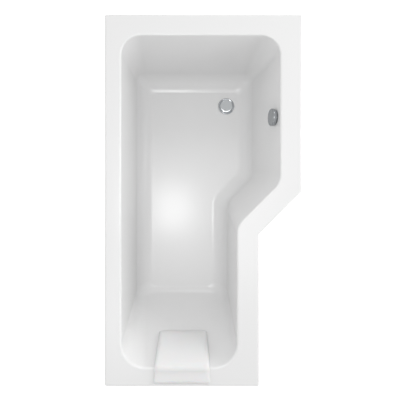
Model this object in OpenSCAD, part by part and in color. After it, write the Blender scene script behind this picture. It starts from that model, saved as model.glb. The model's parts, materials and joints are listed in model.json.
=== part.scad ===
// Angular P-shaped shower bath, seen from above as it is installed.
// Origin: under the middle of the rim's box, on the floor that the feet stand on.
// +X is the open front, +Y is the shower end, +Z is up. All sizes are in millimetres.

/* [Rim] */
// Length of the rim, from the head end to the shower end
bath_l = 1600; // [1540:10:1720]
// Width of the rim at the shower end
wide_w = 850; // [820:5:900]
// Width of the rim at the head end
narrow_w = 665; // [640:5:700]
// Length of the wide front, before it turns in at 45 degrees
wide_l = 760; // [720:10:800]
// Height of the rim above the floor, feet screwed in
rim_h = 570; // [560:5:620]
// Flat width of the rim along the wall
rim_wall = 58; // [54:1:66]
// Flat width of the rim at the head end
rim_head = 72; // [66:1:84]
// Flat width of the rim along the front
rim_front = 82; // [76:1:90]
// Flat width of the rim at the shower end
rim_shower = 79; // [70:1:90]
// Height of the turned-down edge
skirt_h = 38; // [34:1:44]
// Radius over the outer top edge
edge_r = 10; // [8:1:11]
// Radius of the outer corners, seen from above
corner_r = 12; // [12:1:20]

/* [Well] */
// Depth of the floor below the rim, at the middle of the length
well_d = 400; // [380:5:410]
// Fall of the floor towards the waste, millimetres in each millimetre
fall = 0.01; // [0:0.005:0.02]
// Lean of the wall side and of the narrow front, degrees from upright
lean_side = 4; // [3:0.5:6]
// Lean of the back rest at the head end
lean_head = 33; // [30:0.5:35]
// Lean of the wide front and of the 45 degree front
lean_front = 14; // [11:0.5:15]
// Lean of the shower end
lean_shower = 13.5; // [10:0.5:16]
// Radius where the rim turns down into the well
lip_r = 14; // [13:0.5:18]
// Radius between the floor and the walls
foot_r = 78; // [66:1:84]
// Radius between the floor and the back rest
rest_r = 90; // [70:1:110]
// Corner radius of the opening at the head end
open_head_r = 118; // [90:1:130]
// Corner radius of the opening at the shower end
open_shower_r = 98; // [80:1:110]
// Radius of the opening where the 45 degree front meets the narrow one
open_inner_r = 70; // [50:1:90]

/* [Sheet] */
// Thickness of the acrylic sheet
acrylic_t = 5; // [4:0.5:6]
// Thickness of the glass fibre sprayed on its back
fibre_t = 4; // [3:0.5:5]
// Bond line between the two
bond = 0.3; // [0.2:0.05:0.4]
// Thickness of the chipboard under the floor
board_t = 18; // [15:1:22]
// How far the board stays inside the flat of the floor
board_inset = 12; // [8:1:24]
// Where the board stops short of the waste, from the middle of the waste
board_stop = 68; // [64:1:80]

/* [Battens] */
// Width of the timber battens under the rim
batten_w = 34; // [28:1:38]
// Height of the battens
batten_h = 30; // [29.5:0.5:40]
// Length of the batten along the wall
batten_wall_l = 1200; // [1000:50:1300]
// Length of the batten behind the narrow front
batten_narrow_l = 480; // [300:20:520]
// Length of the batten behind the wide front
batten_wide_l = 640; // [500:20:680]
// Middle of the narrow front's batten, from the head end of the rim
batten_narrow_y = 330; // [310:10:340]
// Middle of the wide front's batten, from the shower end of the rim
batten_wide_y = 390; // [370:10:400]
// Middle of each wall bracket, from its end of the rim
bracket_y = 380; // [340:10:480]

/* [Feet] */
// Width of the two steel channels under the board
bar_w = 40; // [36:1:50]
// Height of the channels
bar_h = 30; // [26:1:32]
// Sheet thickness of the channels and of the middle bracket
bar_t = 2; // [1.5:0.5:3]
// Middle of the shower end channel, from the shower end of the rim
bar_shower = 470; // [460:5:520]
// Middle of the head end channel, from the head end of the rim
bar_head = 500; // [460:5:560]
// Radius of the threaded rods
rod_r = 6; // [5:0.5:6]
// Thread clearance between a rod and its nuts
rod_gap = 0.05; // [0.04:0.01:0.08]
// How far a foot screws out
foot_travel = 40; // [20:1:45]
// How far the middle foot screws out
middle_travel = 25; // [10:1:26]
// Radius of a foot's sole
pad_r = 27; // [22:1:32]
// Height of a foot's sole
pad_h = 20; // [16:1:24]

/* [Waste] */
// Waste, from the shower end of the rim
waste_y = 318; // [305:1:330]
// Waste, from the outer edge of the wide front
waste_x = 305; // [295:1:320]
// Radius of the chrome flange
flange_r = 41; // [40:0.5:42]
// Radius of the plug's cap
cap_r = 32; // [29:0.5:34]
// Radius of the hole in the floor
waste_hole_r = 26; // [26:0.25:27]
// How far the plug lifts
plug_lift = 10; // [6:0.5:10]

/* [Trap] */
// Outer radius of the trap's pipe
pipe_r = 21; // [20:0.5:22]
// Wall of the trap's pipe
pipe_t = 2.5; // [2:0.25:3]
// Half the width of the U bend
bend_r = 32; // [32:1:36]
// Bore radius of the outlet socket, for a 40 mm waste pipe
outlet_r = 20.2; // [20.1:0.05:20.4]
// Depth of the outlet socket
outlet_l = 28; // [22:1:34]

/* [Overflow] */
// Overflow, from the shower end of the rim
over_y = 434; // [420:2:450]
// Middle of the overflow below the rim, down the wall
over_d = 60; // [58:1:75]
// Radius of the turning knob
knob_r = 38; // [34:0.5:40]
// How far the knob's face stands off the wall
knob_h = 20; // [17:0.5:24]
// Outer radius of the ribbed hose
hose_r = 16; // [15:0.5:17]
// Distance between the hose's ribs
rib_pitch = 8; // [6:1:12]

/* [Head rest] */
// Width of the pad where it lies on the rim
pad_w_rim = 250; // [220:5:280]
// Width of the pad at its lower end
pad_w_low = 222; // [180:5:240]
// How far the pad reaches back over the flat of the rim
pad_on_rim = 62; // [50:1:64]
// Length of the pad down the back rest
pad_drop = 185; // [120:5:210]
// Thickness of the pad on the rim
pad_t_rim = 15; // [12:1:22]
// Thickness of the pad at its fullest
pad_t = 46; // [28:1:50]

/* [Hidden] */

$fn = 48;
seat = 0.2;           // gap left between pieces that are clamped or glued face to face
far = 2000;           // longer than anything that it cuts
corner_steps = 8;     // flats along each corner of the shell
lip_steps = 4;        // flats over the lip
fillet_steps = 8;     // flats up the radius at the foot of a wall
edge_steps = 4;       // flats over the outer edge
steel = "silver";
white = "white";

// ---------- the outline: six sides, each a line with a normal and a distance ----------
// wall, head end, narrow front, 45 degree front, wide front, shower end
normals = [180, 270, 360, 315, 360, 450];
turns = [90, 90, -45, 45, 90, 90];
x_wall = -wide_w / 2;
x_front = wide_w / 2;
x_narrow = narrow_w - wide_w / 2;
y_head = -bath_l / 2;
y_shower = bath_l / 2;
y_turn = y_shower - wide_l;
outer_dist = [-x_wall, -y_head, x_narrow, (x_front - y_turn) / sqrt(2), x_front, y_shower];
rim_flat = [rim_wall, rim_head, rim_front, rim_front, rim_front, rim_shower];
open_dist = outer_dist - rim_flat;
leans = [lean_side, lean_head, lean_side, lean_front, lean_front, lean_shower];
foot_radii = [foot_r, rest_r, foot_r, foot_r, foot_r, foot_r];

// Signed corner radii at the opening, at the foot of the walls and at the floor.
// The inner corner is negative, because it turns the other way.
open_radii = [open_head_r, open_head_r, -open_inner_r, open_shower_r, open_shower_r, open_shower_r];
foot_corner = [55, 55, -100, 75, 40, 40];
floor_corner = [30, 30, -95, 60, 24, 24];

// Where two lines meet, each given by the angle of its normal and its distance
function meet(a, p, b, q) =
    [p * sin(b) - q * sin(a), q * cos(a) - p * cos(b)] / sin(b - a);

function mix(a, b, f) = a + (b - a) * f;

// A closed ring round the bath, from a distance and a depth for each side, and the share
// of the floor's fall that it takes
function ring(dist, radius, depth, share = 0) = [
    for (i = [0:5], j = [0:corner_steps])
        let (
            k = (i + 1) % 6,
            a = normals[i] + turns[i] * j / corner_steps,
            c = meet(normals[i], dist[i] - radius[i], normals[i] + turns[i], dist[k] - radius[i]),
            y = c.y + radius[i] * sin(a)
        ) [c.x + radius[i] * cos(a), y,
            rim_h - mix(depth[i], depth[k], j / corner_steps) - share * fall * y]
];

// The wall's section for one side: [inset from the opening, depth], t below the seen face
function wall_drop(i) = well_d - (foot_radii[i] + lip_r) * (1 - sin(leans[i]));
function floor_inset(i) =
    (foot_radii[i] + lip_r) * cos(leans[i]) + wall_drop(i) * tan(leans[i]);
function lip_point(i, f, t) =
    let (a = (90 - leans[i]) * f)
        [(lip_r - t) * sin(a), lip_r - (lip_r - t) * cos(a)];
function foot_point(i, f, t) =
    let (a = mix(leans[i], 90, f), r = foot_radii[i])
        [floor_inset(i) - (r + t) * cos(a), well_d - r + (r + t) * sin(a)];

// A ring over the lip or round the foot of the walls, f from 0 at its top to 1
function section_ring(points, radii, t, share) = ring(
    [for (i = [0:5]) open_dist[i] - points[i].x],
    [for (r = radii) r + t],
    [for (p = points) p.y], share);
function lip_ring(f, t) = section_ring(
    [for (i = [0:5]) lip_point(i, f, t)],
    [for (r = open_radii) r - lip_r * sin(90 * f)], t, 0);
function foot_ring(f, t) = section_ring(
    [for (i = [0:5]) foot_point(i, f, t)],
    [for (i = [0:5]) mix(foot_corner[i], floor_corner[i], 1 - cos(90 * f))], t, sin(90 * f));

// A ring near the outer edge, a given inset from it and depth below the rim
function edge_ring(inset, depth) = ring(
    [for (p = outer_dist) p - inset],
    [for (t = turns) t > 0 ? max(corner_r - inset, 0.5) : -corner_r - inset],
    [for (t = turns) depth]);

// The well from the floor up to the flat of the rim, and back
function well_up(t) = concat(
    [for (k = [fillet_steps:-1:0]) foot_ring(k / fillet_steps, t)],
    [for (k = [lip_steps:-1:0]) lip_ring(k / lip_steps, t)]);
function well_down(t) = let (up = well_up(t)) [for (k = [len(up) - 1:-1:0]) up[k]];

function total(v) = v * [for (k = v) 1];
function middle(r) = [for (k = [0:2]) total([for (p = r) p[k]]) / len(r)];

// The two triangles between point i and the next one on rings a and b, numbered from the
// first of their n points. The cut runs the same way whether the rings climb or drop, so
// that skins one behind the other stay an even distance apart.
function strip(a, b, i, n, climbs) =
    let (k = (i + 1) % n)
        climbs ? [[a + i, a + k, b + k], [a + i, b + k, b + i]]
        : [[a + i, a + k, b + i], [a + k, b + k, b + i]];

// A closed solid through rings of equal count. Each cap is a fan from the middle of its
// ring, which also suits the P-shaped rings of the bath.
module loft(rings) {
    n = len(rings[0]);
    last = len(rings) - 1;
    hub = n * len(rings);
    hubs = [for (r = rings) middle(r)];
    polyhedron(
        points = concat([for (r = rings, p = r) p], [hubs[0], hubs[last]]),
        faces = concat(
            [for (i = [0:n - 1]) [hub, (i + 1) % n, i]],
            [for (r = [0:last - 1], i = [0:n - 1])
                each strip(r * n, (r + 1) * n, i, n, hubs[r].z <= hubs[r + 1].z)],
            [for (i = [0:n - 1]) [hub + 1, last * n + i, last * n + (i + 1) % n]]));
}

// The same with its last ring joined to its first, such as a tube and its bore
module closed_loft(rings) {
    n = len(rings[0]);
    m = len(rings);
    polyhedron(
        points = [for (r = rings, p = r) p],
        faces = [for (r = [0:m - 1], i = [0:n - 1])
            each strip(r * n, (r + 1) % m * n, i, n, true)]);
}

// ---------- levels under the floor ----------
back_t = acrylic_t + bond + fibre_t;               // from the seen face to the back of the fibre
function floor_z(y) = rim_h - well_d - fall * y;   // seen face of the floor
function board_z(y) = floor_z(y) - back_t - seat;  // top of the board

// ---------- shell, backing and board ----------
wx = x_front - waste_x;
wy = y_shower - waste_y;
wz = floor_z(wy);
recess_r = flange_r + 2;
recess_d = 1.6;

lean = lean_front;
over_inset = lip_r * cos(lean) + (over_d - lip_r * (1 - sin(lean))) * tan(lean);
ox = open_dist[4] - over_inset;
oy = y_shower - over_y;
oz = rim_h - over_d;
over_hole_r = 26.5;

// Puts children at the overflow: z = 0 on the wall, +Z into the well, +X up the wall
module at_overflow() translate([ox, oy, oz]) rotate([0, lean - 90, 0]) children();

module waste_hole() translate([wx, wy, wz - 30]) cylinder(r = waste_hole_r, h = 40);
module overflow_hole() at_overflow() translate([0, 0, -20]) cylinder(r = over_hole_r, h = 30);

module bath_shell() color(white) difference() {
    loft(concat(
        well_up(0),
        [for (k = [0:edge_steps])
            let (a = 90 * k / edge_steps)
                edge_ring(edge_r * (1 - sin(a)), edge_r * (1 - cos(a)))],
        [edge_ring(0, skirt_h), edge_ring(acrylic_t, skirt_h)],
        [edge_ring(acrylic_t, edge_r), edge_ring(edge_r, acrylic_t)],
        well_down(acrylic_t)));
    waste_hole();
    overflow_hole();
    translate([wx, wy, wz - recess_d]) cylinder(r = recess_r, h = 10);
}

module glassfibre_backing() color("gainsboro") difference() {
    loft(concat(
        well_up(acrylic_t + bond),
        [edge_ring(edge_r + bond, acrylic_t + bond), edge_ring(edge_r + bond, back_t)],
        well_down(back_t)));
    waste_hole();
    overflow_hole();
    // ground flat for the waste's lower seal
    translate([wx, wy, wz - back_t - 10]) cylinder(r = recess_r + 3, h = 10);
}

// Flat of the floor, seen from above, a given distance inside its edge
function floor_outline(inset) = [
    for (p = ring(
        [for (i = [0:5]) open_dist[i] - floor_inset(i) - inset],
        [for (r = floor_corner) r > 0 ? max(r - inset, 8) : r - inset],
        [0, 0, 0, 0, 0, 0])) [p.x, p.y]];

bar_ys = [y_shower - bar_shower, y_head + bar_head];
bar_screw_r = 2.2;
bar_xs = [[x_wall + 40, x_front - 80], [x_wall + 40, x_narrow - 48]];
foot_end = 22;                                    // from the end of a bar to its foot
bar_z = [for (y = bar_ys) board_z(y) - board_t - seat - fall * bar_w / 2];
mid_x = (x_wall + x_narrow) / 2;
mid_y = (bar_ys[0] + bar_ys[1]) / 2;
mid_drop = 38;                                    // height of the middle bracket
mid_half = 28;                                    // half the distance between its walls
mid_wide = 44;
mid_ear = 30;                                     // length of its ears, screwed to the board
mid_z = board_z(mid_y) - board_t - seat - fall * mid_wide;
mid_screw_x = mid_half + mid_ear / 2 - 1;
board_screw_xs = [[-200, -40, 60], [-200, -92, 0]];

// Screws that go up into the board: [x, y, underside of the head's seat]
board_screws = concat(
    [for (b = [0:1], x = board_screw_xs[b], s = [-1, 1])
        [x, bar_ys[b] + s * bar_w / 4, bar_z[b] - bar_t]],
    [for (s = [-1, 1], t = [-1, 1])
        [mid_x + s * mid_screw_x, mid_y + t * mid_wide / 4, mid_z - bar_t]]);
screw_l = 14;

module base_board() color("burlywood") difference() {
    translate([0, 0, board_z(0)]) rotate([atan(-fall), 0, 0]) translate([0, 0, -board_t])
        linear_extrude(board_t) intersection() {
            polygon(floor_outline(board_inset));
            translate([-far / 2, wy - board_stop - far]) square([far, far]);
        }
    for (s = board_screws) translate([s.x, s.y, s.z - 5]) cylinder(r = bar_screw_r + 0.1, h = 24);
}

// ---------- battens and wall brackets ----------
batten_top = rim_h - back_t - seat;
batten_gap = acrylic_t + 3;                       // from the outer edge of the rim to a batten
bracket_w = 60;
bracket_t = 2.5;
bracket_h = 52;
bracket_ys = [y_shower - bracket_y, y_head + bracket_y];
bracket_hole_r = 3.25;
bracket_hole_gap = 36;
bracket_hole_up = 16;                            // above the bracket's lower edge
bracket_z = batten_top - batten_h - seat;         // top of a bracket
bracket_reach = batten_gap + batten_w - 4;
bracket_screw_r = 2;
bracket_screw_l = 19;
bracket_screw_gap = 32;

module batten(x, y, length, holes = []) color("tan") difference() {
    translate([x, y - length / 2, batten_top - batten_h]) cube([batten_w, length, batten_h]);
    for (h = holes) translate([h.x, h.y, batten_top - batten_h - 1])
        cylinder(r = bracket_screw_r + 0.1, h = bracket_screw_l + 2);
}

bracket_screw_x = x_wall + batten_gap + batten_w / 2;
bracket_screws_at = [
    for (y = bracket_ys, s = [-1, 1]) [bracket_screw_x, y + s * bracket_screw_gap / 2]];

module wall_bracket(y) color(steel) translate([x_wall, y - bracket_w / 2, bracket_z]) difference() {
    union() {
        translate([0, 0, -bracket_t]) cube([bracket_reach, bracket_w, bracket_t]);
        translate([0, 0, -bracket_h]) cube([bracket_t, bracket_w, bracket_h]);
        // two pressed ribs that stiffen the bend
        for (v = [bracket_w / 2 - 3, bracket_w / 2 + 1])
            translate([bracket_t, v, -bracket_t]) rotate([-90, 0, 0])
                linear_extrude(2) polygon([[0, 0], [12, 0], [0, 12]]);
    }
    for (s = [-1, 1]) {
        translate([-1, (bracket_w + s * bracket_hole_gap) / 2, -bracket_h + bracket_hole_up]) rotate([0, 90, 0])
            cylinder(r = bracket_hole_r, h = 5);
        translate([bracket_screw_x - x_wall, (bracket_w + s * bracket_screw_gap) / 2, -bracket_t - 1])
            cylinder(r = bracket_screw_r + 0.4, h = 6);
    }
}

// A pan-head screw, its head below z = 0 and its shank above
module pan_screw(r, length, head) rotate_extrude() polygon([
    [0, length], [r * 0.4, length], [r, length - 2 * r], [r, 0],
    [head, 0], [head, -head * 0.3], [head * 0.75, -head * 0.6], [0, -head * 0.7]]);

module bracket_screws() color(steel)
    for (s = bracket_screws_at) translate([s.x, s.y, bracket_z - bracket_t - seat])
        pan_screw(bracket_screw_r, bracket_screw_l, 2 * bracket_screw_r);

// ---------- leg bars, bracket, screws and nuts ----------
nut_r = 11;
nut_h = 9;
nut_bore = rod_r + rod_gap;
feet_xy = [
    [bar_xs[0][0] + foot_end, bar_ys[0]], [bar_xs[0][1] - foot_end, bar_ys[0]],
    [bar_xs[1][0] + foot_end, bar_ys[1]], [bar_xs[1][1] - foot_end, bar_ys[1]],
    [mid_x, mid_y]];
foot_plate_z = [bar_z[0], bar_z[0], bar_z[1], bar_z[1], mid_z - mid_drop];  // top of each plate
rod_top = [for (i = [0:4])
    i < 4 ? foot_plate_z[i] + nut_h + foot_travel + 6 : foot_plate_z[i] + nut_h + middle_travel + 2];

// Section of a roll-formed channel, open below, its top at y = 0
module channel_section(w, h, t, bend) difference() {
    union() {
        translate([-w / 2, -h]) square([w, h - bend]);
        translate([-w / 2 + bend, -bend - 1]) square([w - 2 * bend, bend + 1]);
        for (s = [-1, 1]) translate([s * (w / 2 - bend), -bend]) circle(bend);
    }
    translate([-w / 2 + t, -h - 1]) square([w - 2 * t, h - t + 1]);
}

module leg_bar(b) color(steel) difference() {
    translate([bar_xs[b][0], bar_ys[b], bar_z[b]]) rotate([90, 0, 90])
        linear_extrude(bar_xs[b][1] - bar_xs[b][0]) channel_section(bar_w, bar_h, bar_t, bar_t * 1.5);
    for (f = [0:3]) if (feet_xy[f].y == bar_ys[b])
        translate([feet_xy[f].x, feet_xy[f].y, bar_z[b] - 10]) cylinder(r = rod_r + 0.5, h = 20);
    for (s = board_screws) translate([s.x, s.y, s.z - 4]) cylinder(r = bar_screw_r + 0.3, h = 8);
    // punched windows between the screws
    for (x = [-120, 200]) if (x < bar_xs[b][1] - 80)
        translate([x, bar_ys[b] - bar_w / 2 - 1, bar_z[b] - bar_h * 0.58]) rotate([-90, 0, 0])
            cylinder(r = 6, h = bar_w + 2);
}

module middle_foot_bracket() color(steel) difference() {
    translate([mid_x, mid_y, mid_z]) rotate([90, 0, 0]) linear_extrude(mid_wide, center = true)
        for (s = [-1, 1]) mirror([s < 0 ? 1 : 0, 0]) {
            translate([mid_half - bar_t / 2, -bar_t]) square([mid_ear, bar_t]);
            translate([mid_half - bar_t / 2, -mid_drop - bar_t]) square([bar_t, mid_drop + bar_t]);
            translate([0, -mid_drop - bar_t]) square([mid_half, bar_t]);
        }
    translate([mid_x, mid_y, mid_z - mid_drop - 10]) cylinder(r = rod_r + 0.5, h = 20);
    for (s = board_screws) translate([s.x, s.y, s.z - 4]) cylinder(r = bar_screw_r + 0.3, h = 8);
}

module leg_bar_screws() color(steel)
    for (s = board_screws) translate([s.x, s.y, s.z - seat]) pan_screw(bar_screw_r, screw_l, 4.4);

// A hexagon nut with turned corners, standing on z = 0
module hex_nut(r, h, bore) difference() {
    intersection() {
        cylinder(r = r, h = h, $fn = 6);
        rotate_extrude() polygon([[0, 0], [r * 0.88, 0], [r, 1.2], [r, h - 1.2], [r * 0.88, h], [0, h]]);
    }
    translate([0, 0, -1]) cylinder(r = bore, h = h + 2);
}

module leg_nuts() color(steel) for (f = [0:4]) translate([feet_xy[f].x, feet_xy[f].y, foot_plate_z[f]]) {
    translate([0, 0, seat / 2]) hex_nut(nut_r, nut_h, nut_bore);
    translate([0, 0, -bar_t - nut_h - seat / 2]) hex_nut(nut_r, nut_h, nut_bore);
}

socket_d = 12;                                    // how deep a rod stands in its sole

module foot_rod(f) color(steel) translate([feet_xy[f].x, feet_xy[f].y, 0]) {
    rotate_extrude() polygon([
        [0, pad_h - socket_d], [rod_r - 1, pad_h - socket_d], [rod_r, pad_h - socket_d + 1],
        [rod_r, rod_top[f] - 1.5], [rod_r - 1.5, rod_top[f]], [0, rod_top[f]]]);
    // spanner flats above the sole
    translate([0, 0, pad_h + seat]) cylinder(r = 10, h = 8, $fn = 6);
}

module foot_pad(f) color("dimgray") translate([feet_xy[f].x, feet_xy[f].y, 0]) difference() {
    rotate_extrude() polygon([
        [0, 0], [pad_r - 2, 0], [pad_r, 2], [pad_r, 5], [pad_r - 3, 8],
        [15, pad_h - 4], [14, pad_h - 1], [13, pad_h], [0, pad_h]]);
    translate([0, 0, pad_h - socket_d - seat]) cylinder(r = rod_r + rod_gap, h = socket_d + 2);
}

// ---------- waste ----------
throat_r = 22;
tail_r = waste_hole_r - 0.8;
tail_d = 36;                                      // how far the flange's tail reaches down
stem_r = 4;
flange_top = 1;
cap_gap = 0.8;                                    // under the cap when the plug is shut
chamber_r = 27;
body_r = 31;
body_top = -back_t - 3 - 2 * seat;                // underside of the fibre, less the seal
body_bottom = -66;
inlet_z = -48;                                    // middle of the overflow's inlet
spigot_r = 24;
spigot_d = 20;
guide_h = 8;
guide_t = 1.5;
guide_arm = 2.5;
guide_hub_r = 7;
lever_z = -50;
pivot_x = -10;
lever_w = 8;
lever_t = 3;
pin_r = 2;
pin_l = 2 * body_r - 10;
eye_r = 3.2;
lever_tilt = atan(plug_lift / 2 / -pivot_x);      // below level with the plug shut, above it open
stem_bottom = lever_z + (pivot_x + stem_r) * tan(lever_tilt) + lever_t / 2 / cos(lever_tilt) + seat;

module at_waste() translate([wx, wy, wz]) children();

module waste_flange() color(steel) at_waste() rotate_extrude() polygon([
    [throat_r, flange_top - 0.4], [throat_r + 2, flange_top], [flange_r - 2, flange_top],
    [flange_r - 0.5, flange_top - 0.5], [flange_r, -recess_d + 1 + 2 * seat],
    [tail_r, -recess_d + 1 + 2 * seat], [tail_r, -tail_d], [throat_r, -tail_d]]);

// A cross in a ring, pressed into the flange's throat, that guides the plug's stem
module plug_guide() color("whitesmoke") at_waste() translate([0, 0, -22]) difference() {
    union() {
        washer(throat_r - seat, throat_r - seat - guide_t, guide_h);
        cylinder(r = guide_hub_r, h = guide_h + 2);
        for (a = [0:90:270]) rotate(a) translate([guide_hub_r - 2, -guide_arm / 2, 0])
            cube([throat_r - guide_hub_r + 1, guide_arm, guide_h]);
    }
    translate([0, 0, -1]) cylinder(r = stem_r + rod_gap, h = guide_h + 4);
}

module washer(r, bore, h) difference() {
    cylinder(r = r, h = h);
    translate([0, 0, -1]) cylinder(r = bore, h = h + 2);
}

module waste_top_seal() color("dimgray") at_waste() translate([0, 0, -recess_d + seat])
    washer(flange_r - 1, waste_hole_r, 1);

module waste_bottom_seal() color("dimgray") at_waste() translate([0, 0, body_top + seat])
    washer(body_r + 11, waste_hole_r, 3);

inlet_r = 13;
inlet_end = 66;

module waste_body() color("whitesmoke") at_waste() difference() {
    union() {
        translate([0, 0, body_top - 5]) cylinder(r = body_r + 12, h = 5);
        translate([0, 0, body_bottom]) cylinder(r = body_r, h = body_top - 4 - body_bottom);
        for (a = [0:45:315]) rotate(a) translate([body_r - 1, -1, body_top - 16]) cube([11, 2, 12]);
        translate([0, 0, body_bottom - spigot_d]) cylinder(r = spigot_r, h = spigot_d + 1);
        translate([0, 0, inlet_z]) rotate([0, 90, 0]) cylinder(r = inlet_r, h = inlet_end);
        rotate(45) translate([0, 0, inlet_z]) rotate([0, 90, 0]) cylinder(r = 6, h = body_r + 12);
    }
    translate([0, 0, body_top - 6 - 20]) cylinder(r = tail_r + seat, h = 40);
    translate([0, 0, body_bottom + 4]) cylinder(r = chamber_r - 3, h = 40);
    translate([0, 0, body_bottom - spigot_d - 1]) cylinder(r = pipe_r - pipe_t, h = 40);
    translate([0, 0, inlet_z]) rotate([0, 90, 0]) cylinder(r = inlet_r - 3, h = inlet_end + 1);
    rotate(45) translate([0, 0, inlet_z]) rotate([0, 90, 0]) cylinder(r = 2, h = body_r + 14);
    translate([pivot_x, 0, lever_z]) rotate([90, 0, 0]) cylinder(r = pin_r + rod_gap, h = pin_l + 2, center = true);
}

module waste_plug() color(steel) at_waste() rotate_extrude() polygon([
    [0, flange_top + cap_gap + 4.2], [cap_r * 0.5, flange_top + cap_gap + 4],
    [cap_r - 2, flange_top + cap_gap + 3.2], [cap_r - 0.5, flange_top + cap_gap + 2.4],
    [cap_r, flange_top + cap_gap + 1.2], [cap_r, flange_top + cap_gap],
    [throat_r - 3, flange_top + cap_gap], [throat_r - 3, -5], [throat_r - 8, -8],
    [stem_r, -8], [stem_r, stem_bottom], [0, stem_bottom]]);

module plug_seal() color("dimgray") at_waste() rotate_extrude() polygon([
    [throat_r - 2.8, -2.4], [throat_r - 0.4, -2.4], [throat_r - 0.4, -0.4], [throat_r - 2.8, -0.4]]);

// A rocker: one arm lifts the plug's stem, and the cable pulls at the eye of the other
module lift_lever() color("gray") at_waste() translate([pivot_x, 0, lever_z])
    rotate([90, lever_tilt, 0]) difference() {
        linear_extrude(lever_w, center = true) {
            circle(lever_t + 1);
            translate([pivot_x, -lever_t / 2]) square([stem_r + 2 - 2 * pivot_x, lever_t]);
            translate([pivot_x, 0]) circle(eye_r);
        }
        cylinder(r = pin_r + rod_gap, h = lever_w + 4, center = true);
        translate([pivot_x, 0, 0]) cylinder(r = 1, h = lever_w + 4, center = true);
    }

module lever_pin() color(steel) at_waste() translate([pivot_x, 0, lever_z]) rotate([90, 0, 0])
    cylinder(r = pin_r, h = pin_l, center = true);

// ---------- trap ----------
trap_top = body_bottom - spigot_d - 0.5;          // top of the U bend, below the waste's floor
flare_r = spigot_r - 0.4;
u_z = trap_top - 11;                              // level of the U bend's centre
elbow_r = 28;
elbow_y = elbow_r;
elbow_z = trap_top + 7 + elbow_r;
outlet_x = wx - 2 * bend_r;
socket_r = outlet_r + 4;
socket_y = 36;                                    // where the socket starts, from the elbow's bend
nut_grip = 29;

// A ring nut with grip ribs, standing on z = 0, with a ledge at its closed end
module ring_nut(r, h, bore, ledge_bore, ledge) difference() {
    linear_extrude(h) polygon([for (k = [0:47])
        (r - (k % 4 < 2 ? 0 : 1.6)) * [cos(k * 7.5), sin(k * 7.5)]]);
    translate([0, 0, ledge]) cylinder(r = bore, h = h);
    translate([0, 0, -1]) cylinder(r = ledge_bore, h = h);
}

module pipe(h) washer(pipe_r, pipe_r - pipe_t, h);

module trap_inlet_nut() color(white) at_waste() translate([0, 0, trap_top - 3 - 5 - seat])
    ring_nut(nut_grip, 22, spigot_r + seat, pipe_r + seat, 5);

module trap_u_bend() color(white) at_waste() translate([0, 0, u_z]) {
    translate([-bend_r, 0, 0]) rotate([90, 0, 0]) rotate_extrude(angle = -180)
        translate([bend_r, 0]) difference() {
            circle(pipe_r);
            circle(pipe_r - pipe_t);
        }
    pipe(trap_top - u_z);
    translate([0, 0, trap_top - u_z - 3]) washer(flare_r, pipe_r - pipe_t, 3);
    translate([-2 * bend_r, 0, 0]) {
        pipe(trap_top - u_z);
        translate([0, 0, 1]) washer(spigot_r, pipe_r - pipe_t, trap_top - u_z - 1);
    }
}

module trap_middle_nut() color(white) translate([outlet_x, wy, wz + trap_top + 7.5]) mirror([0, 0, 1])
    ring_nut(nut_grip, 18, spigot_r + seat, pipe_r + seat, 4 - seat);

module trap_outlet_elbow() color(white) translate([outlet_x, wy, wz]) difference() {
    union() {
        translate([0, 0, trap_top + seat]) pipe(7 - seat);
        translate([0, 0, trap_top + seat]) washer(flare_r, pipe_r - pipe_t, 3);
        translate([0, elbow_y, elbow_z - elbow_r]) rotate([90, 0, -90]) rotate_extrude(angle = 90)
            translate([elbow_r, 0]) difference() {
                circle(pipe_r);
                circle(pipe_r - pipe_t);
            }
        translate([0, elbow_y, elbow_z]) rotate([-90, 0, 0]) {
            pipe(socket_y);
            translate([0, 0, socket_y - 4]) washer(socket_r, pipe_r - pipe_t, 4);
            translate([0, 0, socket_y]) washer(socket_r, outlet_r, outlet_l);
        }
    }
}

outlet_end = elbow_y + socket_y + outlet_l;       // mouth of the socket, from the waste

module trap_outlet_seal() color("dimgray") translate([outlet_x, wy + outlet_end + seat, wz + elbow_z])
    rotate([-90, 0, 0]) washer(socket_r - 0.5, outlet_r + seat, 4);

module trap_outlet_nut() color(white) translate([outlet_x, wy + outlet_end - 14, wz + elbow_z])
    rotate([-90, 0, 0]) translate([0, 0, 24]) mirror([0, 0, 1])
        ring_nut(nut_grip + 1, 24, socket_r + seat, outlet_r + 2 * seat, 24 - 14 - 4 - 2 * seat);

// ---------- overflow ----------
over_back = -back_t - seat;
hub_r = 9;
over_body_z = over_back - 3 - seat;               // front of the body's flange
over_pipe_z = over_body_z - 18;                   // middle of its outlet
over_pipe_r = 13;
over_pipe_end = 62;

module overflow_ring() color(steel) at_overflow() difference() {
    union() {
        rotate_extrude() polygon([
            [22, 3.2], [24, 3.4], [33, 3], [34, 2], [34, seat], [24.8, seat],
            [24.8, over_body_z - 12], [22, over_body_z - 12]]);
        translate([0, 0, -8]) cylinder(r = hub_r, h = 9);
        for (a = [30:120:270]) rotate(a) translate([hub_r - 1, -1.5, -8]) cube([22 - hub_r + 2, 3, 8]);
    }
    translate([0, 0, -10]) cylinder(r = stem_r + rod_gap, h = 14);
}

module overflow_seal() color("dimgray") at_overflow() translate([0, 0, over_back - 3])
    washer(39, over_hole_r, 3);

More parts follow.
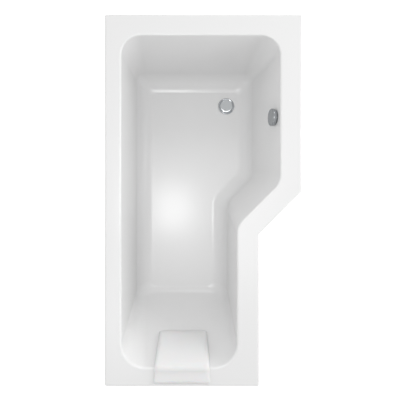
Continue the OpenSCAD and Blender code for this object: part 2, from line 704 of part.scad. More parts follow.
module overflow_body() color("whitesmoke") at_overflow() difference() {
    union() {
        translate([0, 0, over_body_z - 4]) cylinder(r = 40, h = 4);
        translate([0, 0, over_body_z - 33]) cylinder(r = 30, h = 30);
        translate([0, 0, over_pipe_z]) rotate([0, -90, 0]) cylinder(r = over_pipe_r, h = over_pipe_end);
        for (a = [0:45:315]) rotate(a) translate([29, -1, over_body_z - 10]) cube([9, 2, 7]);
        rotate(135) translate([0, 0, over_pipe_z]) rotate([0, 90, 0]) cylinder(r = 6, h = 38);
    }
    translate([0, 0, over_body_z - 13]) cylinder(r = 25, h = 20);
    translate([0, 0, over_body_z - 30]) cylinder(r = 24, h = 30);
    translate([0, 0, over_pipe_z]) rotate([0, -90, 0]) cylinder(r = over_pipe_r - 3, h = over_pipe_end + 1);
    rotate(135) translate([0, 0, over_pipe_z]) rotate([0, 90, 0]) cylinder(r = 2, h = 40);
}

module overflow_knob() color(steel) at_overflow() difference() {
    rotate_extrude() polygon([
        [0, knob_h - 0.6], [knob_r * 0.7, knob_h - 0.2], [knob_r - 2, knob_h],
        [knob_r - 0.6, knob_h - 0.6], [knob_r, knob_h - 2], [knob_r, 7.5], [knob_r - 1.5, 6],
        [knob_r - 3.5, 6], [knob_r - 3.5, knob_h - 4], [12, knob_h - 4], [12, 3], [0, 3]]);
    translate([0, 0, 1]) cylinder(r = stem_r + seat, h = knob_h - 8);
}

module overflow_spindle() color("gray") at_overflow() {
    translate([0, 0, over_body_z - 26]) cylinder(r = stem_r, h = knob_h - 8 - over_body_z + 26);
    // the drum that winds the cable's wire
    translate([0, 0, over_pipe_z - 3]) cylinder(r = 11, h = 6);
}

// ---------- hose and cable ----------
function bezier(p, f) =
    pow(1 - f, 3) * p[0] + 3 * f * pow(1 - f, 2) * p[1] + 3 * f * f * (1 - f) * p[2] + pow(f, 3) * p[3];
function unit(v) = v / norm(v);

// A ring of a tube: centre, direction, a vector that it never runs along, radius, sides
function tube_ring(c, along, across, r, sides) =
    let (t = unit(along), u = unit(cross(across, t)), v = cross(t, u))
        [for (k = [0:sides - 1]) c + r * (u * cos(-k * 360 / sides) + v * sin(-k * 360 / sides))];
function direction(route, k) =
    route[min(k + 1, len(route) - 1)] - route[max(k - 1, 0)];

// Global place and direction of a point given at the overflow
function over_point(x, y, z) =
    [ox + x * sin(lean) - z * cos(lean), oy + y, oz + x * cos(lean) + z * sin(lean)];
function over_dir(x, y, z) = [x * sin(lean) - z * cos(lean), y, x * cos(lean) + z * sin(lean)];

cuff = 26;
hose_from = over_point(-over_pipe_end - seat, 0, over_pipe_z);
hose_to = [wx + inlet_end + seat, wy, wz + inlet_z];
hose_down = over_dir(-1, 0, 0);
hose_curve = [
    hose_from + cuff * hose_down, hose_from + (cuff + 200) * hose_down,
    hose_to + [cuff + 95, 0, 0], hose_to + [cuff, 0, 0]];
hose_ribs = floor(norm(hose_curve[3] - hose_curve[0]) * 1.12 / rib_pitch);
hose_route = concat(
    [hose_from],
    [for (k = [0:2 * hose_ribs]) bezier(hose_curve, k / (2 * hose_ribs))],
    [hose_to]);
hose_last = len(hose_route) - 1;
hose_sides = 10;
function hose_outer_r(k) =
    k <= 1 || k >= hose_last - 1 ? hose_r - 1 : (k % 2 == 0 ? hose_r : hose_r - 2);

module overflow_hose() color("gainsboro") closed_loft(concat(
    [for (k = [0:hose_last])
        tube_ring(hose_route[k], direction(hose_route, k), [0, 1, 0], hose_outer_r(k), hose_sides)],
    [for (k = [hose_last:-1:0]) if (k % 4 == 0 || k == hose_last || k == hose_last - 1 || k == 1)
        tube_ring(hose_route[k], direction(hose_route, k), [0, 1, 0], hose_r - 3.5, hose_sides)]));

module hose_nut_top() color(white) at_overflow() translate([-over_pipe_end + 16, 0, over_pipe_z])
    rotate([0, -90, 0]) ring_nut(19, 13, over_pipe_r + seat, over_pipe_r + seat, 1);

module hose_nut_bottom() color(white) at_waste() translate([inlet_end - 16, 0, inlet_z])
    rotate([0, 90, 0]) ring_nut(19, 13, inlet_r + seat, inlet_r + seat, 1);

cable_r = 3;
cable_from = over_point(-(38 + seat) * sqrt(0.5), (38 + seat) * sqrt(0.5), over_pipe_z);
cable_out = over_dir(-sqrt(0.5), sqrt(0.5), 0);
cable_in = [sqrt(0.5), sqrt(0.5), 0];
cable_to = [wx, wy, wz + inlet_z] + (body_r + 12 + seat) * cable_in;
cable_curve = [
    cable_from, cable_from + 170 * cable_out, cable_to + 190 * cable_in, cable_to];
cable_rings = 48;
cable_route = [for (k = [0:cable_rings]) bezier(cable_curve, k / cable_rings)];

module control_cable() color("dimgray") loft([for (k = [0:cable_rings])
    tube_ring(cable_route[k],
        k == 0 ? cable_out : k == cable_rings ? -cable_in : direction(cable_route, k),
        [1, 0, 0], cable_r, 8)]);

// ---------- head rest ----------
rest_lean = leans[1];
lip_turn = 90 - rest_lean;
lip_arc = lip_r * lip_turn * PI / 180;
pad_len = pad_on_rim + lip_arc + pad_drop;
pad_x = (x_wall + x_narrow) / 2;
pad_lift = 0.3;                                    // between the pad and the bath
pad_rim_steps = 7;
pad_drop_steps = 12;
pad_sides = 24;
pad_end_r = 36;                                   // rounding of the pad's lower end

// Seat of the pad at a length s from its back edge: [inset, depth, angle of the surface]
function pad_seat(s) =
    s < pad_on_rim ? [s - pad_on_rim, 0, 0]
    : s < pad_on_rim + lip_arc
        ? let (a = (s - pad_on_rim) / lip_r * 180 / PI) [lip_r * sin(a), lip_r - lip_r * cos(a), a]
        : let (b = s - pad_on_rim - lip_arc)
            [lip_r * sin(lip_turn) + b * sin(rest_lean),
                lip_r - lip_r * cos(lip_turn) + b * cos(rest_lean), lip_turn];

// Fuller from the rim down to the middle of the back rest, rounded off at both ends
function end_round(d, r) = d >= r ? 1 : sqrt(max(0, 1 - pow(1 - d / r, 2)));
function pad_thick(s) =
    mix(pad_t_rim, pad_t, pow(sin(90 * min(1, max(0, (s - 20) / (pad_len * 0.6)))), 2))
    * max(0.12, end_round(s, 14) * end_round(pad_len - s, pad_end_r));
function pad_wide(s) =
    mix(pad_w_rim, pad_w_low, min(1, s / (pad_len - 20)))
    - 12 * (1 - end_round(min(s, pad_len - s), 16));
function power(x, e) = sign(x) * pow(abs(x), e);

// A point on the pad: its length down the pad, across it and above its seat
function pad_point(s, across, up) =
    let (q = pad_seat(s), n = up + pad_lift)
        [pad_x + across, -open_dist[1] + q.x + n * sin(q[2]), rim_h - q.y + n * cos(q[2])];
function pad_ring(s) = [
    for (k = [0:pad_sides - 1])
        let (a = k * 360 / pad_sides, h = pad_thick(s))
            pad_point(s, pad_wide(s) / 2 * power(cos(a), 0.3),
                h * (sin(a) < 0 ? 0.3 - 0.3 * power(-sin(a), 0.35) : 0.3 + 0.7 * power(sin(a), 0.6)))];

cup_r = 21;
cup_s = pad_on_rim + lip_arc + 62;
cup_x = 62;
module at_cups() for (s = [-1, 1]) {
    p = pad_point(cup_s, s * cup_x, -pad_lift);
    translate(p) rotate([-pad_seat(cup_s)[2], 0, 0]) children();
}

// Lengths down the pad: close together at its two ends, and over the lip the same as the
// flats of the shell, so that the pad lies on them
pad_lengths = concat(
    [for (k = [0:pad_rim_steps - 1]) pad_on_rim * (1 - cos(90 * k / pad_rim_steps))],
    [for (k = [0:lip_steps - 1]) pad_on_rim + lip_arc * k / lip_steps],
    [for (k = [0:pad_drop_steps]) pad_on_rim + lip_arc + pad_drop * sin(90 * k / pad_drop_steps)]);

module head_rest() color("white") difference() {
    loft([for (k = [len(pad_lengths) - 1:-1:0]) pad_ring(pad_lengths[k])]);
    at_cups() translate([0, 0, -1]) cylinder(r = cup_r + 2, h = 9);
    at_cups() cylinder(r = 5 + seat, h = 14);
}

module head_rest_suction_cups() color("lightgray") at_cups() rotate_extrude() polygon([
    [0, 2.5], [cup_r * 0.7, 1.2], [cup_r, seat], [cup_r, 1.2], [cup_r * 0.7, 3.2], [7, 6.5],
    [4.8, 7], [4.8, 13], [0, 13]]);

// ---------- the pieces ----------
bath_shell();
glassfibre_backing();
base_board();
batten(x_wall + batten_gap, 0, batten_wall_l, bracket_screws_at);  // rim_batten_wall
batten(x_narrow - batten_gap - batten_w, y_head + batten_narrow_y, batten_narrow_l);  // rim_batten_narrow_front
batten(x_front - batten_gap - batten_w, y_shower - batten_wide_y, batten_wide_l);  // rim_batten_wide_front
wall_bracket(bracket_ys[0]);  // wall_bracket_shower_end
wall_bracket(bracket_ys[1]);  // wall_bracket_head_end
bracket_screws();
leg_bar(0);  // leg_bar_shower_end
leg_bar(1);  // leg_bar_head_end
middle_foot_bracket();
leg_bar_screws();
leg_nuts();
for (f = [0:4]) {
    foot_rod(f);
    foot_pad(f);
}
waste_flange();
plug_guide();
waste_top_seal();
waste_bottom_seal();
waste_body();
waste_plug();
plug_seal();
lift_lever();
lever_pin();
trap_inlet_nut();
trap_u_bend();
trap_middle_nut();
trap_outlet_elbow();
trap_outlet_seal();
trap_outlet_nut();
overflow_ring();
overflow_seal();
overflow_body();
overflow_knob();
overflow_spindle();
overflow_hose();
hose_nut_top();
hose_nut_bottom();
control_cable();
head_rest();
head_rest_suction_cups();
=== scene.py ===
# %% [markdown]
# # A P-shaped shower bath
# The bath is a sheet of white acrylic that was heated and drawn into a mould. Its plan is wide
# at the shower end and steps in at 45 degrees towards the head end. This lesson dresses a
# finished construction model: every piece rides on a body of that model, and the pieces that
# show are modelled again with finer curves, or get the finish of the real material.

# %% Load the frame
import json
import math

import bmesh
import bpy
from mathutils import Matrix, Vector, noise


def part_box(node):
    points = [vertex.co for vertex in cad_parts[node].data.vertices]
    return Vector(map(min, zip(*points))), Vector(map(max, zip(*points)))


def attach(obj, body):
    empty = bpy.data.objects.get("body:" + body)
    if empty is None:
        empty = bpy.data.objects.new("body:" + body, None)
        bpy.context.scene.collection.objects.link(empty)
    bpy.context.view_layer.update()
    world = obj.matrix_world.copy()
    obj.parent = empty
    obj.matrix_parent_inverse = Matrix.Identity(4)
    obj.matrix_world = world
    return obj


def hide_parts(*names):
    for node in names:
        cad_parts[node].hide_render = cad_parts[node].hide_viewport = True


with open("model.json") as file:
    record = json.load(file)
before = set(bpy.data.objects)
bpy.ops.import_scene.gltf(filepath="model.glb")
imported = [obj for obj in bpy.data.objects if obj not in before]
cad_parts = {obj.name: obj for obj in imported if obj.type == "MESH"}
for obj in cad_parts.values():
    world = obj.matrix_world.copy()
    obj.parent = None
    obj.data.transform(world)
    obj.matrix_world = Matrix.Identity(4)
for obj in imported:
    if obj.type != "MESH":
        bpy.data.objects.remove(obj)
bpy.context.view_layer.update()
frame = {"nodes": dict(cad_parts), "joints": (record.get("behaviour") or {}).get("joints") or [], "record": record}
bpy.context.scene.view_settings.view_transform = "Standard"
MM = 0.001
SAME = 0.01 * MM  # points of a mesh this near each other are one

# %% [markdown]
# ## The camera
# The bath was photographed from straight above, a little left of its middle. How much smaller
# the floor of the well looks than its opening gives the height: about 2.1 m above the rim,
# with a lens that sees 45 degrees. The camera looks along -Z, so it needs no turn at all.

# %% Camera
CAMERA_LEFT = 14.7 * MM
CAMERA_UP = 1.3 * MM
CAMERA_ABOVE_RIM = 2074 * MM
LENS_ANGLE = 45.0

rim_low, rim_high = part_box("bath_shell")
RIM_Z = rim_high.z

camera_data = bpy.data.cameras.new("overhead_camera")
camera_data.angle = math.radians(LENS_ANGLE)
camera = bpy.data.objects.new("overhead_camera", camera_data)
camera.location = (-CAMERA_LEFT, CAMERA_UP, RIM_Z + CAMERA_ABOVE_RIM)
bpy.context.scene.collection.objects.link(camera)
bpy.context.scene.camera = camera
print("lens: %.2f mm" % camera_data.lens)

# %% [markdown]
# ## Colours and nodes
# Colours are written as the sRGB hex values that a paint chart gives, and Blender works with
# linear light, so one function turns the one into the other. Materials are built from nodes.
# One function adds a node with its settings and its links. The short ones add what most
# materials need, such as a noise or a bump, and return what the next node reads.

# %% Colour and node helpers
def paint(hex_code):
    channels = [int(hex_code[i:i + 2], 16) / 255 for i in (1, 3, 5)]
    linear = [c / 12.92 if c <= 0.04045 else ((c + 0.055) / 1.055) ** 2.4 for c in channels]
    return (*linear, 1.0)


def add_node(tree, kind, inputs=None, **settings):
    """Adds a node. A socket is linked to its input, and any other value is set on it."""
    added = tree.nodes.new(kind)
    for name, value in settings.items():
        setattr(added, name, value)
    for socket, value in (inputs or {}).items():
        if isinstance(value, bpy.types.NodeSocket):
            tree.links.new(value, added.inputs[socket])
        else:
            added.inputs[socket].default_value = value
    return added


def new_material(name):
    """An empty material and its node tree."""
    material = bpy.data.materials.new(name)
    material.use_nodes = True
    material.node_tree.nodes.clear()
    return material, material.node_tree


def surface(tree, sockets):
    """Ends a material's tree with one Principled surface."""
    shader = add_node(tree, "ShaderNodeBsdfPrincipled", sockets)
    add_node(tree, "ShaderNodeOutputMaterial", {"Surface": shader.outputs["BSDF"]})


def on_object(tree):
    """The piece's own coordinates, in metres."""
    return add_node(tree, "ShaderNodeTexCoord").outputs["Object"]


def mapped(tree, place, changes):
    """Coordinates that are moved, turned or scaled."""
    return add_node(tree, "ShaderNodeMapping", {"Vector": place, **changes}).outputs["Vector"]


def noise_of(tree, place, lump, detail):
    """Noise whose lumps are so many metres wide."""
    return add_node(tree, "ShaderNodeTexNoise", {"Vector": place, "Scale": 1 / lump,
                                                 "Detail": detail}).outputs["Fac"]


def cells_of(tree, place, cell, feature="F1"):
    """The outputs of a Voronoi pattern whose cells are so many metres wide."""
    return add_node(tree, "ShaderNodeTexVoronoi", {"Vector": place, "Scale": 1 / cell},
                    feature=feature).outputs


def ramp(tree, value, *stops):
    """A colour for each value. The stops are pairs of a position and a hex code, in order."""
    added = add_node(tree, "ShaderNodeValToRGB", {"Fac": value})
    elements = added.color_ramp.elements
    for element, (position, hex_code) in ((elements[0], stops[0]), (elements[1], stops[-1])):
        element.position, element.color = position, paint(hex_code)
    for position, hex_code in stops[1:-1]:
        elements.new(position).color = paint(hex_code)
    return added.outputs["Color"]


def remap(tree, value, low, high, start=0.0, end=1.0):
    """Values from start to end become values from low to high."""
    return add_node(tree, "ShaderNodeMapRange", {
        "Value": value, "From Min": start, "From Max": end, "To Min": low,
        "To Max": high}).outputs["Result"]


def bump(tree, height, strength, distance, under=None):
    """A bump whose full height is the distance, on top of the bump under it."""
    sockets = {"Height": height, "Strength": strength, "Distance": distance}
    if under:
        sockets["Normal"] = under
    return add_node(tree, "ShaderNodeBump", sockets).outputs["Normal"]


def calculate(tree, operation, first, second):
    """One value out of two."""
    return add_node(tree, "ShaderNodeMath", {0: first, 1: second}, operation=operation).outputs[0]


def coat(piece, material):
    """Gives the piece this one material."""
    piece.data.materials.clear()
    piece.data.materials.append(material)


# %% [markdown]
# ## Studio
# A plain pale floor, a bright even room and seven soft lamps. The small one overhead shows as a
# glow in the gloss of the bath's floor, and a wide one fills the well from the ceiling. One
# stands at each side and each end, the strongest at the right. A tiny one behind a grid, which
# narrows its beam, lights only the lower left corner of the well. The white ground of the photo
# is the floor's own colour: for the camera it adds a little of its own light, and the shadow
# of the bath stays on it.

# %% Studio light
ROOM = 0.70

world = bpy.data.worlds.new("bright_room")
bpy.context.scene.world = world
world.use_nodes = True
room_tree = world.node_tree
room_tree.nodes.clear()
room = add_node(room_tree, "ShaderNodeBackground", {"Color": (1, 1, 1, 1), "Strength": ROOM})
add_node(room_tree, "ShaderNodeOutputWorld", {"Surface": room.outputs["Background"]})


def softbox(name, place, aim, width, length, watts, spread=180):
    """An area lamp, width by length in metres. A grid makes its spread less than 180 degrees."""
    lamp_data = bpy.data.lights.new(name, "AREA")
    lamp_data.shape = "RECTANGLE"
    lamp_data.size = width
    lamp_data.size_y = length
    lamp_data.energy = watts
    lamp_data.spread = math.radians(spread)
    lamp = bpy.data.objects.new(name, lamp_data)
    lamp.location = place
    lamp.rotation_euler = (Vector(aim) - Vector(place)).to_track_quat("-Z", "Y").to_euler()
    bpy.context.scene.collection.objects.link(lamp)


MID_BATH = (0, 0, 0.5)
LOWER_LEFT_CORNER = (-0.42, -0.64, 0.45)

softbox("small_overhead_softbox", (-0.30, -0.04, 2.70), (-0.30, -0.04, 0), 0.36, 0.45, 6.6)
softbox("ceiling_softbox", (0, -0.05, 4.2), (0, -0.05, 0), 1.8, 1.8, 17)
softbox("right_softbox", (2.6, 0.4, 1.35), (0.2, 0, 0.5), 1.2, 1.4, 34)
softbox("left_softbox", (-2.6, 0.2, 1.35), MID_BATH, 1.2, 1.4, 7.5)
softbox("shower_end_softbox", (0.3, 2.8, 2.2), MID_BATH, 1.6, 1.0, 14.5)
softbox("head_end_softbox", (-0.1, -2.8, 2.4), MID_BATH, 1.6, 1.0, 2.5)
softbox("gridded_corner_softbox", (0.9, 0.75, 1.9), LOWER_LEFT_CORNER, 0.12, 0.12, 0.045,
        spread=16)
print("lamps:", len(bpy.data.lights))

# %% Floor
FLOOR_SIZE = 8.0
FLOOR_GLOW = 0.35

floor_bm = bmesh.new()
bmesh.ops.create_grid(floor_bm, x_segments=1, y_segments=1, size=FLOOR_SIZE / 2)
floor_mesh = bpy.data.meshes.new("studio_floor")
floor_bm.to_mesh(floor_mesh)
floor_bm.free()
studio_floor = bpy.data.objects.new("studio_floor", floor_mesh)
bpy.context.scene.collection.objects.link(studio_floor)

floor_paint, tree = new_material("white_studio_paint")
rays = add_node(tree, "ShaderNodeLightPath").outputs
seen = calculate(tree, "MAXIMUM", rays["Is Camera Ray"], rays["Is Glossy Ray"])
seen = calculate(tree, "MAXIMUM", seen, rays["Is Transmission Ray"])
surface(tree, {"Base Color": paint("#F4F4F4"), "Roughness": 0.9, "Specular IOR Level": 0.0,
               "Emission Color": (1, 1, 1, 1),
               "Emission Strength": calculate(tree, "MULTIPLY", seen, FLOOR_GLOW)})
coat(studio_floor, floor_paint)

# %% [markdown]
# ## Rings pulled to shape
# Most pieces here are skins over a stack of rings: the bath from its rim down to its floor, the
# pillow, the hose. A loft begins as a circle of vertices that is pulled to the first ring like a
# rubber band. Each next ring is extruded from the one before and pulled to its own place. The
# vertices carry their number round the ring in an attribute, which extrude copies, so every
# vertex knows where it belongs and the skin never twists.

# %% Loft
SMOOTH_BELOW = 35  # degrees
ROUND_STEPS = 96  # sides of what is drilled or turned


def loft(bm, rings, closed=False):
    """Skins rings of equal count and caps both ends, or joins the last ring to the first."""
    number = bm.verts.layers.int.get("number") or bm.verts.layers.int.new("number")
    band = bmesh.ops.create_circle(bm, segments=len(rings[0]), radius=1.0)["verts"]
    for k, vertex in enumerate(band):
        vertex[number] = k
        vertex.co = rings[0][k]
    edges = list({edge for vertex in band for edge in vertex.link_edges})
    first = list(edges)
    for ring in rings[1:] + (rings[:1] if closed else []):
        grown = bmesh.ops.extrude_edge_only(bm, edges=edges)["geom"]
        fresh = {item for item in grown if isinstance(item, bmesh.types.BMVert)}
        edges = [item for item in grown
                 if isinstance(item, bmesh.types.BMEdge) and fresh.issuperset(item.verts)]
        for vertex in fresh:
            vertex.co = ring[vertex[number]]
    if closed:
        bmesh.ops.remove_doubles(bm, verts=bm.verts, dist=0.001 * MM)
    else:
        for end in (first, edges):
            bmesh.ops.contextual_create(bm, geom=end)
    return bm


def as_piece(bm, name, smooth_below=SMOOTH_BELOW):
    """Makes the mesh an object: curves shade smooth, and edges over the angle stay sharp."""
    bmesh.ops.recalc_face_normals(bm, faces=bm.faces)
    mesh = bpy.data.meshes.new(name)
    bm.to_mesh(mesh)
    bm.free()
    mesh.shade_smooth()
    mesh.set_sharp_from_angle(angle=math.radians(smooth_below))
    piece = bpy.data.objects.new(name, mesh)
    bpy.context.scene.collection.objects.link(piece)
    print("%s: %d faces" % (name, len(mesh.polygons)))
    return piece


def keep_result(piece):
    """The mesh that the piece's modifiers make becomes its own mesh."""
    bpy.context.view_layer.update()
    shaped = piece.evaluated_get(bpy.context.evaluated_depsgraph_get())
    mesh = bpy.data.meshes.new_from_object(shaped)
    piece.modifiers.clear()
    piece.data = mesh
    return mesh


def fit(piece, body, slot, *nodes):
    """The piece rides on its body and stands for its nodes. The slot is not used."""
    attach(piece, body)
    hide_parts(*nodes)
    return piece


# %% [markdown]
# ## The plan of the bath
# Seen from above, the bath has six straight sides. Each side is a line, given by the direction
# that it faces and its distance from the middle, and neighbouring lines are joined by an arc.
# The 45 degree step makes one corner turn the other way, which is an arc with a negative
# radius.

# %% Plan
# the sides in order: wall, head end, narrow front, step, wide front, shower end
FACES = (180, 270, 0, -45, 0, 90)
TURNS = (90, 90, -45, 45, 90, 90)  # what the corner after each side turns by
NARROW_END = 665 * MM
WIDE_FRONT = 760 * MM
RIM_FLAT = [w * MM for w in (58, 72, 82, 82, 82, 79)]
ARC_STEPS = 14
SIDE_STEPS = 6

X_WALL, Y_HEAD = rim_low.x, rim_low.y
X_FRONT, Y_SHOWER = rim_high.x, rim_high.y
STEP_OUT = (X_FRONT - (Y_SHOWER - WIDE_FRONT)) / math.sqrt(2)
OUTER = (-X_WALL, -Y_HEAD, X_WALL + NARROW_END, STEP_OUT, X_FRONT, Y_SHOWER)
OPENING = [outer - flat for outer, flat in zip(OUTER, RIM_FLAT)]


def corner_centre(i, distances, radius):
    """The centre of the arc after side i: where the two sides, moved in by the radius, cross."""
    a, b = math.radians(FACES[i]), math.radians(FACES[i] + TURNS[i])
    p, q = distances[i] - radius, distances[(i + 1) % 6] - radius
    return ((p * math.sin(b) - q * math.sin(a)) / math.sin(b - a),
            (q * math.cos(a) - p * math.cos(b)) / math.sin(b - a))


def plan_ring(distances, radii, z, fall=0.0, arc_steps=ARC_STEPS, side_steps=SIDE_STEPS):
    """One outline of the bath at height z, sloping by fall along its length."""
    arcs = []
    for i in range(6):
        x, y = corner_centre(i, distances, radii[i])
        turn = [math.radians(FACES[i] + TURNS[i] * j / arc_steps) for j in range(arc_steps + 1)]
        arcs.append([Vector((x + radii[i] * math.cos(t), y + radii[i] * math.sin(t), z))
                     for t in turn])
    ring = []
    for arc, after in zip(arcs, arcs[1:] + arcs[:1]):
        ring += arc + [arc[-1].lerp(after[0], k / side_steps) for k in range(1, side_steps)]
    for point in ring:
        point.z -= fall * point.y
    return ring


print("bath: %.0f x %.0f mm" % ((Y_SHOWER - Y_HEAD) / MM, (X_FRONT - X_WALL) / MM))

# %% [markdown]
# ### The section of the well
# Going down, each side moves in by its own section: a lip, a leaning wall and a round foot. For
# a side and a depth, the section says how far the surface is in from the opening. Both rounds
# touch the straight line of the wall, so a tighter or wider round leaves the wall in its place.
# The same function gives the back of the sheet: t is how far a surface lies below the seen
# face, which makes the lip's radius smaller and the foot's radius larger. Where the drawn sheet
# meets the floor of the mould, the wall side and both ends keep a faint crease.

# %% Section
LEAN = [math.radians(a) for a in (4, 33, 4, 14, 14, 13.5)]
LIP_R = [r * MM for r in (10, 14, 8, 8, 8, 8)]
FOOT_R = [r * MM for r in (78, 62, 78, 78, 78, 92)]
CREASE = [math.radians(a) for a in (6, 12, 0, 0, 0, 6)]
WELL_DEPTH = 400 * MM
FALL = 0.01
DRAWN_LIP_R = 14 * MM  # the lip that the openings are measured to
SQUEEZED = 1 * MM  # least radius of a lip on the back of the sheet
OPEN_R = [r * MM for r in (118, 118, -70, 98, 98, 98)]
WALL_CORNER_R = [r - DRAWN_LIP_R for r in OPEN_R]
FOOT_CORNER_R = [r * MM for r in (55, 55, -100, 75, 40, 40)]
FLOOR_CORNER_R = [r * MM for r in (30, 30, -95, 60, 24, 24)]
WALL_TOP = [DRAWN_LIP_R * (1 / math.cos(a) - math.tan(a)) for a in LEAN]


def section_inset(i, depth, t):
    """How far side i is in from its opening at a depth."""
    lean, slope = LEAN[i], math.tan(LEAN[i])
    lip_depth = max(LIP_R[i], t + SQUEEZED)
    lip, foot = lip_depth - t, FOOT_R[i] + t
    lip_inset = WALL_TOP[i] + lip_depth * (slope - 1 / math.cos(lean))
    lip_end = lip_depth - lip * math.sin(lean)
    foot_depth = WELL_DEPTH - FOOT_R[i] * math.cos(CREASE[i])
    foot_inset = WALL_TOP[i] + foot_depth * slope + FOOT_R[i] / math.cos(lean)
    if depth <= lip_end:
        return lip_inset + math.sqrt(max(0.0, lip ** 2 - (lip_depth - depth) ** 2))
    if depth >= foot_depth + foot * math.sin(lean):
        return foot_inset - math.sqrt(max(0.0, foot ** 2 - (depth - foot_depth) ** 2))
    return lip_inset + lip * math.cos(lean) + (depth - lip_end) * slope


def mix(a, b, f):
    return a + (b - a) * f


def mix_each(first, second, f):
    return [mix(a, b, f) for a, b in zip(first, second)]


def sweep(start, end, steps):
    return [mix(start, end, k / steps) for k in range(steps + 1)]


def well_rings(t, lip_steps=8, wall_steps=6, foot_steps=16, **counts):
    """The rings from the flat of the rim down to the floor, t below the seen face."""
    lip_depth, foot, upright = max(LIP_R[0], t + SQUEEZED), FOOT_R[0] + t, LEAN[0]
    lip = lip_depth - t
    foot_depth = WELL_DEPTH - FOOT_R[0]
    lip_end = lip_depth - lip * math.sin(upright)
    foot_start = foot_depth + foot * math.sin(upright)
    levels = []
    for a in sweep(0, math.pi / 2 - upright, lip_steps):
        radii = [r + lip_depth * (1 - math.sin(a)) for r in WALL_CORNER_R]
        levels.append((lip_depth - lip * math.cos(a), radii, 0.0))
    for f in sweep(0, 1, wall_steps)[1:-1]:
        radii = mix_each(WALL_CORNER_R, FOOT_CORNER_R, f)
        levels.append((mix(lip_end, foot_start, f), radii, 0.0))
    for f in sweep(0, 1, foot_steps):
        a = mix(upright, math.pi / 2, f)
        radii = mix_each(FOOT_CORNER_R, FLOOR_CORNER_R, 1 - math.cos(f * math.pi / 2))
        levels.append((foot_depth + foot * math.sin(a), radii, math.sin(f * math.pi / 2)))
    return [plan_ring([opening - section_inset(i, depth, t) for i, opening in enumerate(OPENING)],
                      [r + t for r in radii], RIM_Z - depth, share * FALL, **counts)
            for depth, radii, share in levels]


# %% [markdown]
# ### The acrylic shell
# The sheet is 5 mm thick. Its outer edge is rounded over and turned down, and its lower edge is
# cut square. The stack of rings goes up the seen face of the well, over the flat rim and the
# edge, round the cut of the turned-down edge, and back down the hidden face. The holes of the
# waste and the overflow are then cut with a Boolean. The creases round the floor are marked
# sharp. A weighted normal keeps the big flats flat in the gloss, and the rounds curved.

# %% Shell
EDGE_R = 9 * MM
CORNER_R = 7 * MM
SKIRT = 38 * MM
ACRYLIC = 5 * MM
SAWN_IN, SAWN_UP = 0.6 * MM, 1 * MM  # how far the sawn lower edge is broken
LEAST_CORNER_R = 0.5 * MM
CREASE_ABOVE = math.radians(5)
THROUGH, CLEAR = 30 * MM, 10 * MM  # how far a drill goes down and sticks up
SPOT_FACE_R, SPOT_FACE_DEPTH = 43 * MM, 1.6 * MM
WASTE_HOLE_R, OVERFLOW_HOLE_R = 26 * MM, 26.5 * MM


def middle_of(node):
    low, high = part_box(node)
    return (low.x + high.x) / 2, (low.y + high.y) / 2


waste_x, waste_y = middle_of("waste_plug")
WASTE = Vector((waste_x, waste_y, RIM_Z - WELL_DEPTH - FALL * waste_y))
AT_WASTE = Matrix.Translation(WASTE)

knob_joint = next(joint for joint in frame["joints"] if joint["name"] == "knob_turn")
OVERFLOW = Vector(knob_joint["pos_m"])
out_of_wall = Vector(knob_joint["axis"]).normalized()
up_the_wall = Vector((out_of_wall.z, 0, -out_of_wall.x))
AT_OVERFLOW = (Matrix.Translation(OVERFLOW)
               @ Matrix((up_the_wall, (0, 1, 0), out_of_wall)).transposed().to_4x4())


def edge_ring(inset, depth, **counts):
    """An outline of the turned-down edge, so far in from the outside and so far down."""
    radii = [max(CORNER_R - inset, LEAST_CORNER_R) if turn > 0 else -CORNER_R - inset
             for turn in TURNS]
    return plan_ring([outer - inset for outer in OUTER], radii, RIM_Z - depth, **counts)


def drill(radius, low, high, place):
    """A drill for a Boolean: a round bar along the Z of its place."""
    bm = bmesh.new()
    bmesh.ops.create_cone(bm, cap_ends=True, segments=ROUND_STEPS, radius1=radius, radius2=radius,
                          depth=high - low,
                          matrix=place @ Matrix.Translation((0, 0, (low + high) / 2)))
    return as_piece(bm, "drill")


def cut(piece, drills):
    """Cuts each drill out of the piece and keeps the result as its mesh."""
    for bar in drills:
        modifier = piece.modifiers.new("cut", "BOOLEAN")
        modifier.operation = "DIFFERENCE"
        modifier.solver = "EXACT"
        modifier.object = bar
    mesh = keep_result(piece)
    for bar in drills:
        bpy.data.objects.remove(bar)
    mesh.set_sharp_from_angle(angle=math.radians(SMOOTH_BELOW))


def drill_holes(piece, recess_r, recess_low, recess_high):
    """Drills the waste and the overflow, with a wide, shallow recess round the waste."""
    cut(piece, [drill(WASTE_HOLE_R, -THROUGH, CLEAR, AT_WASTE),
                drill(recess_r, recess_low, recess_high, AT_WASTE),
                drill(OVERFLOW_HOLE_R, -THROUGH, CLEAR, AT_OVERFLOW)])


def sharpen_creases(mesh):
    """Keeps the drawn floor's edge crisp wherever the foot meets it at an angle."""
    bm = bmesh.new()
    bm.from_mesh(mesh)
    for edge in bm.edges:
        on_floor = all(abs(RIM_Z - WELL_DEPTH - FALL * vertex.co.y - vertex.co.z) < SAME
                       for vertex in edge.verts)
        if on_floor and edge.is_manifold and edge.calc_face_angle() > CREASE_ABOVE:
            edge.smooth = False
    bm.to_mesh(mesh)
    bm.free()


